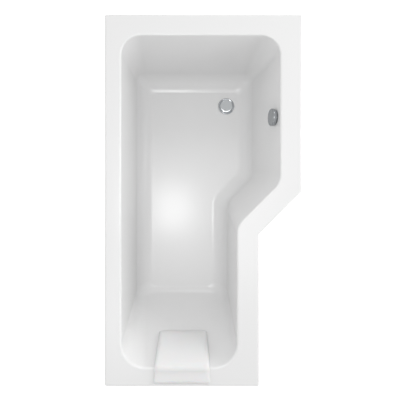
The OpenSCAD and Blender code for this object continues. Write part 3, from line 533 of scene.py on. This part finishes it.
rounded_edge = [edge_ring(EDGE_R * (1 - math.sin(a)), EDGE_R * (1 - math.cos(a)))
                for a in sweep(0, math.pi / 2, 8)]
turned_down = [edge_ring(0, SKIRT - SAWN_UP), edge_ring(SAWN_IN, SKIRT),
               edge_ring(ACRYLIC - SAWN_IN, SKIRT), edge_ring(ACRYLIC, SKIRT - SAWN_UP),
               edge_ring(ACRYLIC, EDGE_R), edge_ring(EDGE_R, ACRYLIC)]
shell_rings = well_rings(0.0)[::-1] + rounded_edge + turned_down + well_rings(ACRYLIC)
acrylic_shell = as_piece(loft(bmesh.new(), shell_rings), "acrylic_shell")
drill_holes(acrylic_shell, SPOT_FACE_R, -SPOT_FACE_DEPTH, CLEAR)
sharpen_creases(acrylic_shell.data)
flat_first = acrylic_shell.modifiers.new("flats_stay_flat", "WEIGHTED_NORMAL")
flat_first.keep_sharp = True
fit(acrylic_shell, "root", "white_acrylic", "bath_shell")

# %% [markdown]
# ### White acrylic
# Cast acrylic is through-coloured and polished by the mould, so it is a dense white with a clear
# gloss. The heated sheet is stretched over the mould, which leaves a very slight waviness that
# only bends the reflections.

# %% White acrylic
cast_acrylic, tree = new_material("cast_acrylic_white")
waves = noise_of(tree, on_object(tree), 60 * MM, 1.0)
surface(tree, {"Base Color": paint("#DDDDDD"), "Roughness": 0.22, "IOR": 1.49,
               "Normal": bump(tree, waves, 0.2, 0.05 * MM)})
coat(acrylic_shell, cast_acrylic)

# %% [markdown]
# ### Glass fibre backing
# Behind the acrylic, chopped glass strands in resin are sprayed on and rolled down. The seen
# side of it is the underside of the bath: dull, a little uneven, milky with the straw colour of
# the resin, with strands lying every way. Its unevenness is real shape, so the outer skin is a
# finer loft whose vertices are pushed in by a noise, never out, where it would meet the boards.

# %% Glass fibre
BOND = 0.3 * MM
FIBRE = 4 * MM
BACK = ACRYLIC + BOND + FIBRE
FIBRE_CLEAR = 3 * MM  # how much wider the hollow round the waste is
SPRAY_LUMP, SPRAY_LUMP_H = 45 * MM, 1.4 * MM
STRAND, STRAND_T = 26 * MM, 2.2 * MM

fine = {"side_steps": 40}
inner_skin = well_rings(ACRYLIC + BOND, 4, 8, 10, **fine)
outer_skin = [edge_ring(EDGE_R + BOND, ACRYLIC + BOND, **fine),
              edge_ring(EDGE_R + BOND, BACK, **fine)]
outer_skin += well_rings(BACK, 4, 14, 14, **fine)
spray = loft(bmesh.new(), inner_skin[::-1] + outer_skin)
smooth_count = (len(inner_skin) + 2) * len(inner_skin[0])  # the bonded side and the edge
bmesh.ops.recalc_face_normals(spray, faces=spray.faces)
spray.verts.ensure_lookup_table()
for vertex in spray.verts[smooth_count:]:
    lump = 0.5 + 0.5 * noise.noise(vertex.co / SPRAY_LUMP)
    vertex.co -= vertex.normal * SPRAY_LUMP_H * max(0.0, min(1.0, lump))
glass_fibre = as_piece(spray, "glass_fibre_spray", 60)
drill_holes(glass_fibre, SPOT_FACE_R + FIBRE_CLEAR, -BACK - CLEAR, -BACK)
fit(glass_fibre, "root", "glass_fibre", "glassfibre_backing")

fibre_resin, tree = new_material("sprayed_glass_fibre_resin")
place = on_object(tree)
strands = None
for turn in (0, 55, 115):
    along = mapped(tree, place, {"Rotation": [math.radians(a) for a in (turn, turn / 2, turn)]})
    stretched = mapped(tree, along, {"Scale": (1 / STRAND, 1 / STRAND_T, 1 / STRAND_T)})
    one_way = noise_of(tree, stretched, 1.0, 1.5)
    strands = calculate(tree, "MAXIMUM", strands, one_way) if strands else one_way
surface(tree, {"Base Color": ramp(tree, strands, (0.5, "#C6C2AC"), (0.72, "#E3E1D6")),
               "Roughness": 0.42, "IOR": 1.52, "Subsurface Weight": 0.15,
               "Subsurface Scale": 2 * MM, "Normal": bump(tree, strands, 0.7, 0.8 * MM)})
coat(glass_fibre, fibre_resin)

# %% [markdown]
# ## Chrome
# The knob, the ring behind it, the waste's flange and its plug are brass or zinc castings that
# were turned and chromed. Each is a shape turned on a lathe, so its outline is drawn once as
# points of radius and height in millimetres, and spin turns it. A small bevel on the corners
# catches the light as a polished edge does. The ring is a copy of its construction solid.

# %% Lathe
def spun(outline, steps, closed=False, climb=0.0):
    """Spins an outline of (radius, height) points once round Z, climbing as it goes."""
    bm = bmesh.new()
    points = [bm.verts.new((radius, 0, height)) for radius, height in outline]
    lines = [bm.edges.new(pair) for pair in zip(points, points[1:])]
    if closed:
        lines.append(bm.edges.new((points[-1], points[0])))
    bmesh.ops.spin(bm, geom=points + lines, cent=(0, 0, 0), axis=(0, 0, 1), angle=math.tau,
                   dvec=(0, 0, climb / steps), steps=steps, use_merge=not climb,
                   use_duplicate=False)
    return bm


def turned(profile, place, steps=ROUND_STEPS):
    """Spins an outline of (radius, height) points, in millimetres, into a closed solid."""
    outline = [(radius * MM, height * MM) for radius, height in profile]
    bm = spun(outline, steps, closed=outline[0][0] > 0)
    bmesh.ops.remove_doubles(bm, verts=bm.verts, dist=0.001 * MM)
    bmesh.ops.recalc_face_normals(bm, faces=bm.faces)
    bm.transform(place)
    return bm


def break_edges(bm, width, above=40):
    """Bevels every edge sharper than an angle, as a file or a polishing wheel leaves it."""
    corners = [edge for edge in bm.edges
               if edge.is_manifold and edge.calc_face_angle() > math.radians(above)]
    bmesh.ops.bevel(bm, geom=corners, offset=width * MM, offset_type="OFFSET", segments=2,
                    profile=0.5, affect="EDGES", material=-1, clamp_overlap=True)
    return bm


def refined(node, width=0.3):
    """A merged copy of a CAD node with its corners broken, to stand for the node."""
    bm = bmesh.new()
    bm.from_mesh(frame["nodes"][node].data)
    bmesh.ops.remove_doubles(bm, verts=bm.verts, dist=0.002 * MM)
    bmesh.ops.dissolve_limit(bm, angle_limit=math.radians(0.2), verts=bm.verts, edges=bm.edges)
    return break_edges(bm, width)


# %% Knob, ring, flange and plug
KNOB_R, CAP_R = 38, 32
POLISHED, ROUND_ABOVE = 0.25, 50  # width of a broken edge, and the angle it takes

knob_outline = [
    (0, 19.0), (12, 19.05), (22, 19.25), (30, 19.6), (33, 19.75),  # the dished face
    (33.4, 19.3), (34.2, 19.3), (34.6, 19.85),  # a turned groove
    (36.4, 19.9), (37.3, 19.5), (37.8, 18.7), (KNOB_R, 17.6),  # the rounded rim
    (37.9, 13), (37.5, 9), (37, 6.8), (36.2, 6), (34.5, 6),  # the side, down to the wall
    (34.5, 16), (12, 16), (12, 3), (4.2, 3), (4.2, 12), (0, 12)]  # the hollow and the hub
knob_bm = break_edges(turned(knob_outline, AT_OVERFLOW), POLISHED, ROUND_ABOVE)
turning_knob = fit(as_piece(knob_bm, "turning_knob"), "knob", "chrome", "overflow_knob")

plug_outline = [
    (0, 6.0), (15, 5.99), (24, 5.96), (28.6, 5.88), (30.0, 5.6),  # the cap, almost flat
    (31.0, 4.9), (31.6, 4.1), (CAP_R, 2.9), (31.7, 1.9), (31.2, 1.8),  # its rounded edge
    (19, 1.8), (19, -5), (14, -8), (4, -8),  # the body
    (4, -49), (3.2, -50.9), (0, -50.9)]  # the stem
plug_bm = break_edges(turned(plug_outline, AT_WASTE), POLISHED, ROUND_ABOVE)
pop_up_plug = fit(as_piece(plug_bm, "pop_up_plug"), "plug", "chrome", "waste_plug")

flange_outline = [
    (22, 0.6), (24, 1), (33, 1),  # the seat of the plug
    (34.6, 2), (35.6, 2.2), (38.4, 1.4), (41, -0.2),  # a bead, cut as cones
    (25.2, -0.2), (25.2, -36), (22, -36)]  # the tube
flange = fit(as_piece(turned(flange_outline, AT_WASTE), "waste_flange_ring", 12),
             "root", "chrome", "waste_flange")
ring = fit(as_piece(refined("overflow_ring"), "overflow_backing_ring"),
           "root", "chrome", "overflow_ring")

# %% [markdown]
# Chrome plating is a mirror: it shows the white bath below it and the bright room above it. Its
# colour is a cool light grey, and lime spots and wiping leave it a little hazier in patches. The
# plug and its flange are chrome on brass: the plug bright, the flange a little rougher and painted
# darker, as painted shade for the dark ring round the plug. The knob and its ring are zinc
# castings with softer chrome, also painted darker, as painted shade on the knob's face and edge.

# %% Chrome plating
def chrome(name, colour, clean, hazy):
    plating, tree = new_material(name)
    haze = noise_of(tree, on_object(tree), 14 * MM, 3.0)
    surface(tree, {"Base Color": paint(colour), "Metallic": 1.0,
                   "Roughness": remap(tree, haze, clean, hazy, 0.35, 0.75)})
    return plating


bright_chrome = chrome("chrome_plated_brass", "#CDD0D2", 0.05, 0.12)
# painted shade: the flange's chrome is darker than the plug's, for the dark ring round the plug
flange_painted_shade_chrome = chrome("flange_chrome_darkened_as_painted_shade", "#B9BCBF", 0.08, 0.16)
# painted shade: the knob's and ring's chrome is darker still, for the shaded face of the knob
knob_and_ring_painted_shade_chrome = chrome("knob_and_ring_chrome_darkened_as_painted_shade", "#ABAEB1", 0.12, 0.22)
for piece, plating in ((pop_up_plug, bright_chrome), (flange, flange_painted_shade_chrome),
                       (turning_knob, knob_and_ring_painted_shade_chrome), (ring, knob_and_ring_painted_shade_chrome)):
    coat(piece, plating)

# %% [markdown]
# ## The head rest
# The pad is soft polyurethane foam in a smooth skin of its own, made in a closed mould, and it
# hangs over the rim: a thin part lies on the flat of the rim, and a full part leans on the back
# rest. It is made lying flat, where its outline and its thickness are easy to write, then it is
# blown up a little as soft things are, and bent over the rim last. Flat, x runs across the pad,
# y down it from its back edge, and z is up from the bath.

# %% Pad lying flat
REST_LEAN = LEAN[1]
LIP_TURN = math.pi / 2 - REST_LEAN
REST_LIP_R = LIP_R[1]
LIP_ARC = REST_LIP_R * LIP_TURN
ON_RIM = 62 * MM
DROP = 200 * MM
OVER_LIP = ON_RIM + LIP_ARC
PAD_LENGTH = OVER_LIP + DROP
PAD_X = (X_WALL + X_WALL + NARROW_END) / 2
PAD_SIDES = 48
BACK_T = 10  # thickness at the back edge, in millimetres
HANGING_T = (24, 32, 29, 11)  # and from the lip down, as four control values
LEAST_T = 0.12  # share of the thickness that the round ends keep
BACK_ROUND, END_ROUND = 14 * MM, 18 * MM
BACK_W, END_W = 254 * MM, 225 * MM
TAPER_LENGTH = PAD_LENGTH - 20 * MM
CORNER_IN, CORNER_LENGTH = 12 * MM, 16 * MM
WIDEST = 0.3  # share of the height at which the pad is widest
SIDE_POWER, UNDER_POWER, CROWN_POWER = 0.3, 0.35, 0.6


def end_round(distance, radius):
    """Goes round from 0 at an end to 1 at the radius from it."""
    return 1.0 if distance >= radius else math.sqrt(max(0.0, 1 - (1 - distance / radius) ** 2))


def bezier(control, f):
    a, b, c, d = control
    return a * (1 - f) ** 3 + b * 3 * f * (1 - f) ** 2 + c * 3 * f * f * (1 - f) + d * f ** 3


def pad_thickness(s):
    """Thin on the rim, fullest just below the lip, and thinning to its round end."""
    if s < OVER_LIP:
        full = mix(BACK_T, HANGING_T[0], (s / OVER_LIP) ** 6)
    else:
        full = bezier(HANGING_T, (s - OVER_LIP) / DROP)
    ends = end_round(s, BACK_ROUND) * end_round(PAD_LENGTH - s, END_ROUND)
    return full * MM * max(LEAST_T, ends)


def pad_width(s):
    return (mix(BACK_W, END_W, min(1.0, s / TAPER_LENGTH))
            - CORNER_IN * (1 - end_round(min(s, PAD_LENGTH - s), CORNER_LENGTH)))


def flat_pad_ring(s, slack):
    """An outline across the pad: a flat underside, full sides and a gently crowned top."""
    half, height, ring = pad_width(s) / 2 - slack, pad_thickness(s) - slack, []
    for k in range(PAD_SIDES):
        across, rise = math.cos(math.tau * k / PAD_SIDES), math.sin(math.tau * k / PAD_SIDES)
        if rise < 0:
            up = WIDEST - WIDEST * (-rise) ** UNDER_POWER
        else:
            up = WIDEST + (1 - WIDEST) * rise ** CROWN_POWER
        out = math.copysign(abs(across) ** SIDE_POWER, across)
        ring.append(Vector((half * out, s, height * up)))
    return ring


SWELL = 1.2 * MM
steps = [ON_RIM * (1 - math.cos(a)) for a in sweep(0, math.pi / 2, 12)]
steps += [ON_RIM + LIP_ARC * f for f in sweep(0, 1, 8)[1:]]
steps += [OVER_LIP + DROP * math.sin(a) for a in sweep(0, math.pi / 2, 24)[1:]]
pad_bm = loft(bmesh.new(), [flat_pad_ring(s, SWELL) for s in steps])
head_rest_pad = as_piece(pad_bm, "head_rest_pad", 60)

# %% [markdown]
# Blowing up: the pad is remeshed into even little faces, as cloth needs, and pressed from inside
# for twenty frames. How far a point may move is capped, because the mould gave the real pad its
# shape, and the underside stays flat. Subdivision smooths the result.

# %% Swelling and bending
CLOTH_FRAMES = 20
PAD_GAP = 0.4 * MM  # between the pad and the acrylic


def swell(piece, voxel, pressure, cap):
    """Blows the piece up by the pressure, and no point of it farther than the cap."""
    remesh = piece.modifiers.new("even_faces", "REMESH")
    remesh.mode = "VOXEL"
    remesh.voxel_size = voxel
    resting = [vertex.co.copy() for vertex in keep_result(piece).vertices]
    air = piece.modifiers.new("air", "CLOTH")
    air.settings.use_pressure = True
    air.settings.uniform_pressure_force = pressure
    air.settings.effector_weights.gravity = 0.0
    air.point_cache.frame_start, air.point_cache.frame_end = 1, CLOTH_FRAMES
    for number in range(1, CLOTH_FRAMES + 1):
        bpy.context.scene.frame_set(number)
    farthest = 0.0
    for vertex, start in zip(keep_result(piece).vertices, resting):
        move = vertex.co - start
        farthest = max(farthest, move.length)
        vertex.co = start + move * min(1.0, cap / max(move.length, 1e-9))
        vertex.co.z = max(vertex.co.z, 0.0)
    bpy.context.scene.frame_set(1)
    print("%s: blown up by %.1f mm, capped at %.1f mm" % (piece.name, farthest / MM, cap / MM))


def over_the_rim(point):
    """Where a point of the flat pad comes to lie when the pad is hung over the rim."""
    past_rim, down = point.y - ON_RIM, max(point.y - OVER_LIP, 0.0)
    angle = min(max(past_rim, 0.0) / REST_LIP_R, LIP_TURN)
    inset = min(past_rim, 0.0) + REST_LIP_R * math.sin(angle) + down * math.sin(REST_LEAN)
    depth = REST_LIP_R * (1 - math.cos(angle)) + down * math.cos(REST_LEAN)
    lift = point.z + PAD_GAP
    return Vector((PAD_X + point.x, -OPENING[1] + inset + lift * math.sin(angle),
                   RIM_Z - depth + lift * math.cos(angle)))


swell(head_rest_pad, voxel=4 * MM, pressure=4.0, cap=2.4 * MM)
soften = head_rest_pad.modifiers.new("smooth_skin", "SUBSURF")
soften.levels = soften.render_levels = 1
for vertex in keep_result(head_rest_pad).vertices:
    vertex.co = over_the_rim(vertex.co)
head_rest_pad.data.shade_smooth()
fit(head_rest_pad, "head_rest", "polyurethane_pad", "head_rest")

foam_skin, tree = new_material("polyurethane_foam_skin")
place = on_object(tree)
dents = bump(tree, noise_of(tree, place, 30 * MM, 3.0), 0.25, 0.6 * MM)
grain = cells_of(tree, place, 2.2 * MM, "SMOOTH_F1")["Distance"]
surface(tree, {"Base Color": paint("#DCDCDC"), "Roughness": 0.45, "IOR": 1.45,
               "Subsurface Weight": 0.12, "Subsurface Scale": 3 * MM,
               "Normal": bump(tree, grain, 0.25, 0.15 * MM, dents)})
coat(head_rest_pad, foam_skin)

# %% [markdown]
# ## Underneath
# Everything under the bath is hardware: folded steel, planed timber, a chipboard floor panel,
# screwed feet and plastic pipework. Their construction solids have the right shape already, so
# most are copied, with their triangles merged and their sharp corners broken, and get the
# finish of their material. The record says which body and slot a node belongs to.

# %% Dress a node
bodies = frame["record"]["behaviour"]["bodies"]
BODY_OF = {node: body for body, nodes in bodies.items() for node in nodes}
SLOT_OF = {row["node"]: row["material_slot"] for row in frame["record"]["subparts"]}


def stand_in(piece, material, node):
    """Gives the piece its material, and the body of the node that it stands for."""
    coat(piece, material)
    fit(piece, BODY_OF[node], SLOT_OF[node], node)


def dress(material, corner, *nodes):
    """Stands a copy with broken corners, in its own material, in the place of each node."""
    for node in nodes:
        stand_in(as_piece(refined(node, corner), node + "_finished"), material, node)


print("nodes to dress:", len(BODY_OF))

# %% [markdown]
# ### Steel
# The brackets, bars and plates are folded from hot-dip galvanised sheet. The zinc freezes in
# large flat crystals, called spangle, that each reflect a little differently. Screws, nuts and
# rods are too small for that: they are electroplated with zinc, which is finer and brighter.

# %% Steel finishes
galvanised, tree = new_material("hot_dip_galvanised_sheet")
place = on_object(tree)
spangle = cells_of(tree, place, 11 * MM)
shade = add_node(tree, "ShaderNodeSeparateColor", {"Color": spangle["Color"]}).outputs
clouded = calculate(tree, "MULTIPLY", shade["Red"], noise_of(tree, place, 40 * MM, 4.0))
surface(tree, {"Base Color": ramp(tree, clouded, (0.0, "#94989B"), (0.6, "#C3C7C9")),
               "Metallic": 1.0, "Roughness": remap(tree, shade["Green"], 0.34, 0.52),
               "Normal": bump(tree, spangle["Distance"], 0.15, 0.05 * MM)})

bright_zinc, tree = new_material("bright_zinc_plating")
film = noise_of(tree, on_object(tree), 6 * MM, 4.0)
surface(tree, {"Base Color": ramp(tree, film, (0.35, "#A9ADB2"), (0.7, "#CCD0D4")),
               "Metallic": 1.0, "Roughness": remap(tree, film, 0.22, 0.38, 0.3, 0.7)})

dress(galvanised, 0.3, "leg_bar_shower_end", "leg_bar_head_end", "middle_foot_bracket",
      "wall_bracket_shower_end", "wall_bracket_head_end")
dress(bright_zinc, 0.15, "leg_nuts", "leg_bar_screws", "bracket_screws", "lever_pin")

# %% [markdown]
# ### Feet
# Each foot is a length of M12 threaded rod in a rubber sole. A thread is a small outline, one
# pitch tall, that is spun while it climbs one pitch in each turn, so that the turns join. Then
# the rod is cut to its length, and its ends are turned down to a cone as a nut needs to start.

# %% Threaded rods
PITCH = 1.75 * MM
CREST_R, ROOT_R = 6.0 * MM, 5.0 * MM
THREAD = ((ROOT_R, 0.0), (CREST_R, 0.38), (CREST_R, 0.54), (ROOT_R, 0.9), (ROOT_R, 1.0))
THREAD_STEPS = 20
HEX_R, HEX_H = 10 * MM, 8 * MM
HEX_GAP = 0.2 * MM  # between the sole and the hexagon above it
CONE = 0.6 * MM  # how far below the root the cone of an end starts


def thread(turns):
    """A tube of thread: one turn is spun, and an Array modifier stacks it, a pitch at a time."""
    outline = [(radius, share * PITCH) for radius, share in THREAD]
    one_turn = as_piece(spun(outline, THREAD_STEPS, climb=PITCH), "one_turn")
    stack = one_turn.modifiers.new("turns", "ARRAY")
    stack.count = turns
    stack.use_relative_offset, stack.use_constant_offset = False, True
    stack.constant_offset_displace = (0, 0, PITCH)
    stack.use_merge_vertices, stack.merge_threshold = True, SAME
    bm = bmesh.new()
    bm.from_mesh(keep_result(one_turn))
    bpy.data.objects.remove(one_turn)
    bmesh.ops.remove_doubles(bm, verts=bm.verts, dist=SAME)
    return bm


def threaded_rod(low, high):
    """An M12 rod standing on the axis, from one height to the other."""
    bm = thread(math.ceil((high - low) / PITCH) + 2)
    bmesh.ops.translate(bm, verts=bm.verts, vec=(0, 0, low - 1.5 * PITCH))
    for height, outward in ((low, -1), (high, 1)):
        bmesh.ops.bisect_plane(bm, geom=bm.verts[:] + bm.edges[:] + bm.faces[:],
                               plane_co=(0, 0, height), plane_no=(0, 0, outward),
                               clear_outer=True)
        rim = [edge for edge in bm.edges if edge.is_boundary
               and all(abs(v.co.z - height) < SAME for v in edge.verts)]
        bmesh.ops.holes_fill(bm, edges=rim)
    for vertex in bm.verts:
        allowed = ROOT_R - CONE + min(vertex.co.z - low, high - vertex.co.z)
        radius = vertex.co.xy.length
        if radius > allowed:
            vertex.co.xy *= allowed / radius
    bmesh.ops.recalc_face_normals(bm, faces=bm.faces)
    return bm


def foot_place(number):
    """Where a foot stands, and the heights of its rod."""
    node = "foot_rod_%d" % number
    low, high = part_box(node)
    return Vector((*middle_of(node), 0)), low.z, high.z


FEET = range(1, 6)
sole_low, sole_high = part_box("foot_pad_1")
for number in FEET:
    place, low, high = foot_place(number)
    rod = threaded_rod(low, high)
    hex_place = Matrix.Translation((0, 0, sole_high.z + HEX_GAP + HEX_H / 2))
    bmesh.ops.create_cone(rod, cap_ends=True, segments=6, radius1=HEX_R, radius2=HEX_R,
                          depth=HEX_H, matrix=hex_place @ Matrix.Rotation(math.radians(30), 4, "Z"))
    bmesh.ops.translate(rod, verts=rod.verts, vec=place)
    threaded = as_piece(rod, "threaded_rod_%d" % number, 30)
    stand_in(threaded, bright_zinc, "foot_rod_%d" % number)

# %% [markdown]
# The sole is moulded in hard black rubber: a flat foot with a rounded rim, three rings on its
# underside that grip the floor, and a cone that the rod stands in.

# %% Soles
hard_rubber, tree = new_material("hard_black_rubber")
bloom = noise_of(tree, on_object(tree), 9 * MM, 5.0)
surface(tree, {"Base Color": ramp(tree, bloom, (0.35, "#1B1B1D"), (0.75, "#2E2E30")),
               "Roughness": 0.55, "Specular IOR Level": 0.4,
               "Normal": bump(tree, bloom, 0.3, 0.1 * MM)})

SOLE_R = (sole_high.x - sole_low.x) / 2 / MM
SOLE_TOP = sole_high.z / MM
GRIP_RINGS = (0.45, 0.62, 0.79)  # as shares of the radius
GRIP_H = 1.2
SOCKET_R, SOCKET_END = 6.4, SOLE_TOP - 12.2
sole_outline = [(0, GRIP_H)]
for share in GRIP_RINGS:
    start = SOLE_R * share
    sole_outline += [(start, GRIP_H), (start + 0.4, 0), (start + 2.2, 0), (start + 2.6, GRIP_H)]
sole_outline += [
    (SOLE_R - 2.6, GRIP_H), (SOLE_R - 2.2, 0), (SOLE_R - 0.8, 0.2),  # the outermost ring
    (SOLE_R, 1.4), (SOLE_R, 4.6), (SOLE_R - 0.8, 5.6), (SOLE_R - 3, 8),  # the rounded rim
    (15.2, SOLE_TOP - 4), (14, SOLE_TOP - 1), (13, SOLE_TOP),  # the cone
    (SOCKET_R, SOLE_TOP), (SOCKET_R, SOCKET_END), (0, SOCKET_END)]  # the socket of the rod
for number in FEET:
    place, _, _ = foot_place(number)
    sole = as_piece(turned(sole_outline, Matrix.Translation(place), 64),
                    "rubber_sole_%d" % number, 40)
    stand_in(sole, hard_rubber, "foot_pad_%d" % number)

# %% [markdown]
# ### Timber and board
# The battens are planed softwood. A log's yearly rings are cylinders round its middle, so a
# batten shows them as long stripes on its sides and as arcs on its ends: the rings are drawn
# round an axis that runs along the batten, a hand's width outside it. The floor panel is raw
# chipboard: flat flakes of wood, pressed with glue.

# %% Wood
softwood, tree = new_material("planed_softwood")
place = on_object(tree)
off_centre = mapped(tree, place, {"Location": (0.07, 0, 0.05), "Rotation": (0.02, 0, 0.015),
                                  "Scale": (1, 0.12, 1)})
years = add_node(tree, "ShaderNodeTexWave", {
    "Vector": off_centre, "Scale": 1 / (22 * MM), "Distortion": 2.0, "Detail": 3.0,
    "Detail Scale": 1.2}, wave_type="RINGS", rings_direction="Y", wave_profile="SAW")
along = mapped(tree, place, {"Scale": (1 / (0.7 * MM), 1 / (30 * MM), 1 / (0.7 * MM))})
pores = noise_of(tree, along, 1.0, 2.0)
grained = add_node(tree, "ShaderNodeHueSaturation", {
    "Color": ramp(tree, years.outputs["Fac"], (0, "#DDBE8E"), (0.72, "#D3AF7B"), (1, "#B98C58")),
    "Value": remap(tree, pores, 0.82, 1.08)})
surface(tree, {"Base Color": grained.outputs["Color"], "Roughness": 0.62,
               "Specular IOR Level": 0.35, "Normal": bump(tree, pores, 0.3, 0.15 * MM)})
dress(softwood, 1.2, "rim_batten_wall", "rim_batten_narrow_front", "rim_batten_wide_front")

chipboard, tree = new_material("raw_chipboard")
flat = mapped(tree, on_object(tree), {"Scale": (1 / (5 * MM), 1 / (3 * MM), 1 / (1.2 * MM))})
flakes = cells_of(tree, flat, 1.0)
each = add_node(tree, "ShaderNodeSeparateColor", {"Color": flakes["Color"]}).outputs["Red"]
surface(tree, {
    "Base Color": ramp(tree, each, (0, "#A5814F"), (0.5, "#C6A472"), (1, "#DCC193")),
    "Roughness": 0.85, "Specular IOR Level": 0.25,
    "Normal": bump(tree, flakes["Distance"], 0.4, 0.3 * MM)})
dress(chipboard, 0.6, "base_board")

# %% [markdown]
# ### Plastic and rubber
# The trap, the waste's body and the nuts are injection-moulded white polypropylene: waxy, a
# little translucent, with a fine spark-eroded texture from the mould. The cable's sheath, the
# lever and the knob's spindle are black, and the flat seals are black nitrile rubber.

# %% Moulded plastics
def moulded(name, dark, light, roughness, subsurface):
    """A plastic whose colour is almost even and whose skin carries the mould's fine texture."""
    plastic, tree = new_material(name)
    place = on_object(tree)
    flow, spark = noise_of(tree, place, 35 * MM, 3.0), noise_of(tree, place, 0.8 * MM, 2.0)
    surface(tree, {"Base Color": ramp(tree, flow, (0.35, dark), (0.65, light)), "IOR": 1.49,
                   "Roughness": remap(tree, flow, roughness - 0.05, roughness + 0.07),
                   "Subsurface Weight": subsurface, "Subsurface Scale": 2 * MM,
                   "Normal": bump(tree, spark, 0.2, 0.06 * MM)})
    return plastic


white_pp = moulded("white_polypropylene", "#DEDED8", "#EAEAE6", 0.36, 0.1)
black_pp = moulded("black_polypropylene", "#1D1D1F", "#28282A", 0.4, 0.0)
nitrile = moulded("nitrile_rubber", "#202022", "#2B2B2D", 0.6, 0.0)
dress(white_pp, 0.4, "plug_guide", "waste_body", "trap_inlet_nut", "trap_u_bend", "trap_middle_nut",
      "trap_outlet_elbow", "trap_outlet_nut", "overflow_body", "hose_nut_top", "hose_nut_bottom")
dress(black_pp, 0.3, "lift_lever", "overflow_spindle")
dress(nitrile, 0.2, "waste_top_seal", "waste_bottom_seal", "plug_seal", "overflow_seal",
      "trap_outlet_seal")

vinyl, tree = new_material("clear_soft_vinyl")
dust = noise_of(tree, on_object(tree), 5 * MM, 3.0)
surface(tree, {"Base Color": paint("#E8EEEC"), "Roughness": remap(tree, dust, 0.06, 0.24),
               "IOR": 1.53, "Transmission Weight": 0.85})
dress(vinyl, 0.2, "head_rest_suction_cups")

# %% [markdown]
# ### Hose and cable
# The overflow's water runs down a ribbed hose, and a cable goes from the knob to the lever under
# the plug. Both follow one smooth curve each, with the same four control points as in the
# construction. The hose is a stack of rings again: its radius goes up and down with each rib.

# %% Routes
HOSE_R, CABLE_R = 16 * MM, 3 * MM
CUFF = 26 * MM  # how much of the hose is inside each nut
PIPE_DEPTH = -30.7 * MM  # of both routes behind the wall of the well
INLET_DEPTH = -48 * MM  # and under its floor
HOSE_TO_KNOB, HOSE_TO_WASTE = 62.2 * MM, 66.2 * MM
CABLE_TO_KNOB, CABLE_TO_WASTE = 38.2 * MM, 43.2 * MM
HOSE_REACH = (200 * MM, 95 * MM)  # from each end to the control point next to it
CABLE_REACH = (170 * MM, 190 * MM)

hose_start = AT_OVERFLOW @ Vector((-HOSE_TO_KNOB, 0, PIPE_DEPTH))
hose_end = WASTE + Vector((HOSE_TO_WASTE, 0, INLET_DEPTH))
hose_curve = (hose_start - up_the_wall * CUFF, hose_start - up_the_wall * (CUFF + HOSE_REACH[0]),
              hose_end + Vector((CUFF + HOSE_REACH[1], 0, 0)), hose_end + Vector((CUFF, 0, 0)))

half = math.sqrt(0.5)  # the cable lies at 45 degrees at both ends
cable_start = AT_OVERFLOW @ Vector((-CABLE_TO_KNOB * half, CABLE_TO_KNOB * half, PIPE_DEPTH))
cable_out = up_the_wall * -half + Vector((0, half, 0))
cable_in = Vector((half, half, 0))
cable_end = WASTE + Vector((0, 0, INLET_DEPTH)) + cable_in * CABLE_TO_WASTE
cable_curve = (cable_start, cable_start + cable_out * CABLE_REACH[0],
               cable_end + cable_in * CABLE_REACH[1], cable_end)


def tube_ring(centre, heading, radius, sides, across):
    """A circle round a point of the route, square to its heading."""
    heading = heading.normalized()
    u = across.cross(heading).normalized()
    v = heading.cross(u)
    turns = [math.tau * k / sides for k in range(sides)]
    return [centre + (u * math.cos(a) + v * math.sin(a)) * radius for a in turns]


# %% Hose
RIB, RIB_DEPTH = 8 * MM, 2 * MM
PER_RIB = 6  # rings in each rib
HOSE_SIDES = 28
HOSE_BORE_R = HOSE_R - 3.5 * MM
CURVE_SLACK = 1.12  # about how much longer than straight the route is

ribs = int((hose_curve[3] - hose_curve[0]).length * CURVE_SLACK / RIB)
line = [bezier(hose_curve, k / (ribs * PER_RIB)) for k in range(ribs * PER_RIB + 1)]
hose_line = [hose_start, hose_start.lerp(line[0], 0.9)]
hose_line += line + [line[-1].lerp(hose_end, 0.1), hose_end]
last = len(hose_line) - 1


def hose_ring(k, radius):
    heading = hose_line[min(k + 1, last)] - hose_line[max(k - 1, 0)]
    return tube_ring(hose_line[k], heading, radius, HOSE_SIDES, Vector((0, 1, 0)))


hose_rings = []
for k in range(last + 1):
    crest = 0.5 + 0.5 * math.cos(math.tau * (k - 2) / PER_RIB)
    in_cuff = k < 3 or k > last - 3
    inward = 1 * MM if in_cuff else RIB_DEPTH * (1 - crest ** 0.7)
    hose_rings.append(hose_ring(k, HOSE_R - inward))
hose_rings += [hose_ring(k, HOSE_BORE_R) for k in range(last, -1, -1)
               if k % PER_RIB == 2 or k in (0, 1, last - 1, last)]
ribbed_hose = fit(as_piece(loft(bmesh.new(), hose_rings, closed=True), "ribbed_hose", 50),
                  "root", "grey_hose", "overflow_hose")

# %% Cable
CABLE_STEPS = 96
CABLE_SIDES = 16

cable_line = [bezier(cable_curve, k / CABLE_STEPS) for k in range(CABLE_STEPS + 1)]
headings = [cable_out] + [b - a for a, b in zip(cable_line, cable_line[2:])] + [-cable_in]
cable_rings = [tube_ring(centre, heading, CABLE_R, CABLE_SIDES, Vector((1, 0, 0)))
               for centre, heading in zip(cable_line, headings)]
sheathed_cable = fit(as_piece(loft(bmesh.new(), cable_rings), "sheathed_cable", 50),
                     "root", "black_plastic", "control_cable")

coat(ribbed_hose, moulded("grey_polypropylene_hose", "#8E9296", "#9DA1A5", 0.45, 0.0))
coat(sheathed_cable, moulded("black_vinyl_sheath", "#1C1C1E", "#262628", 0.45, 0.0))
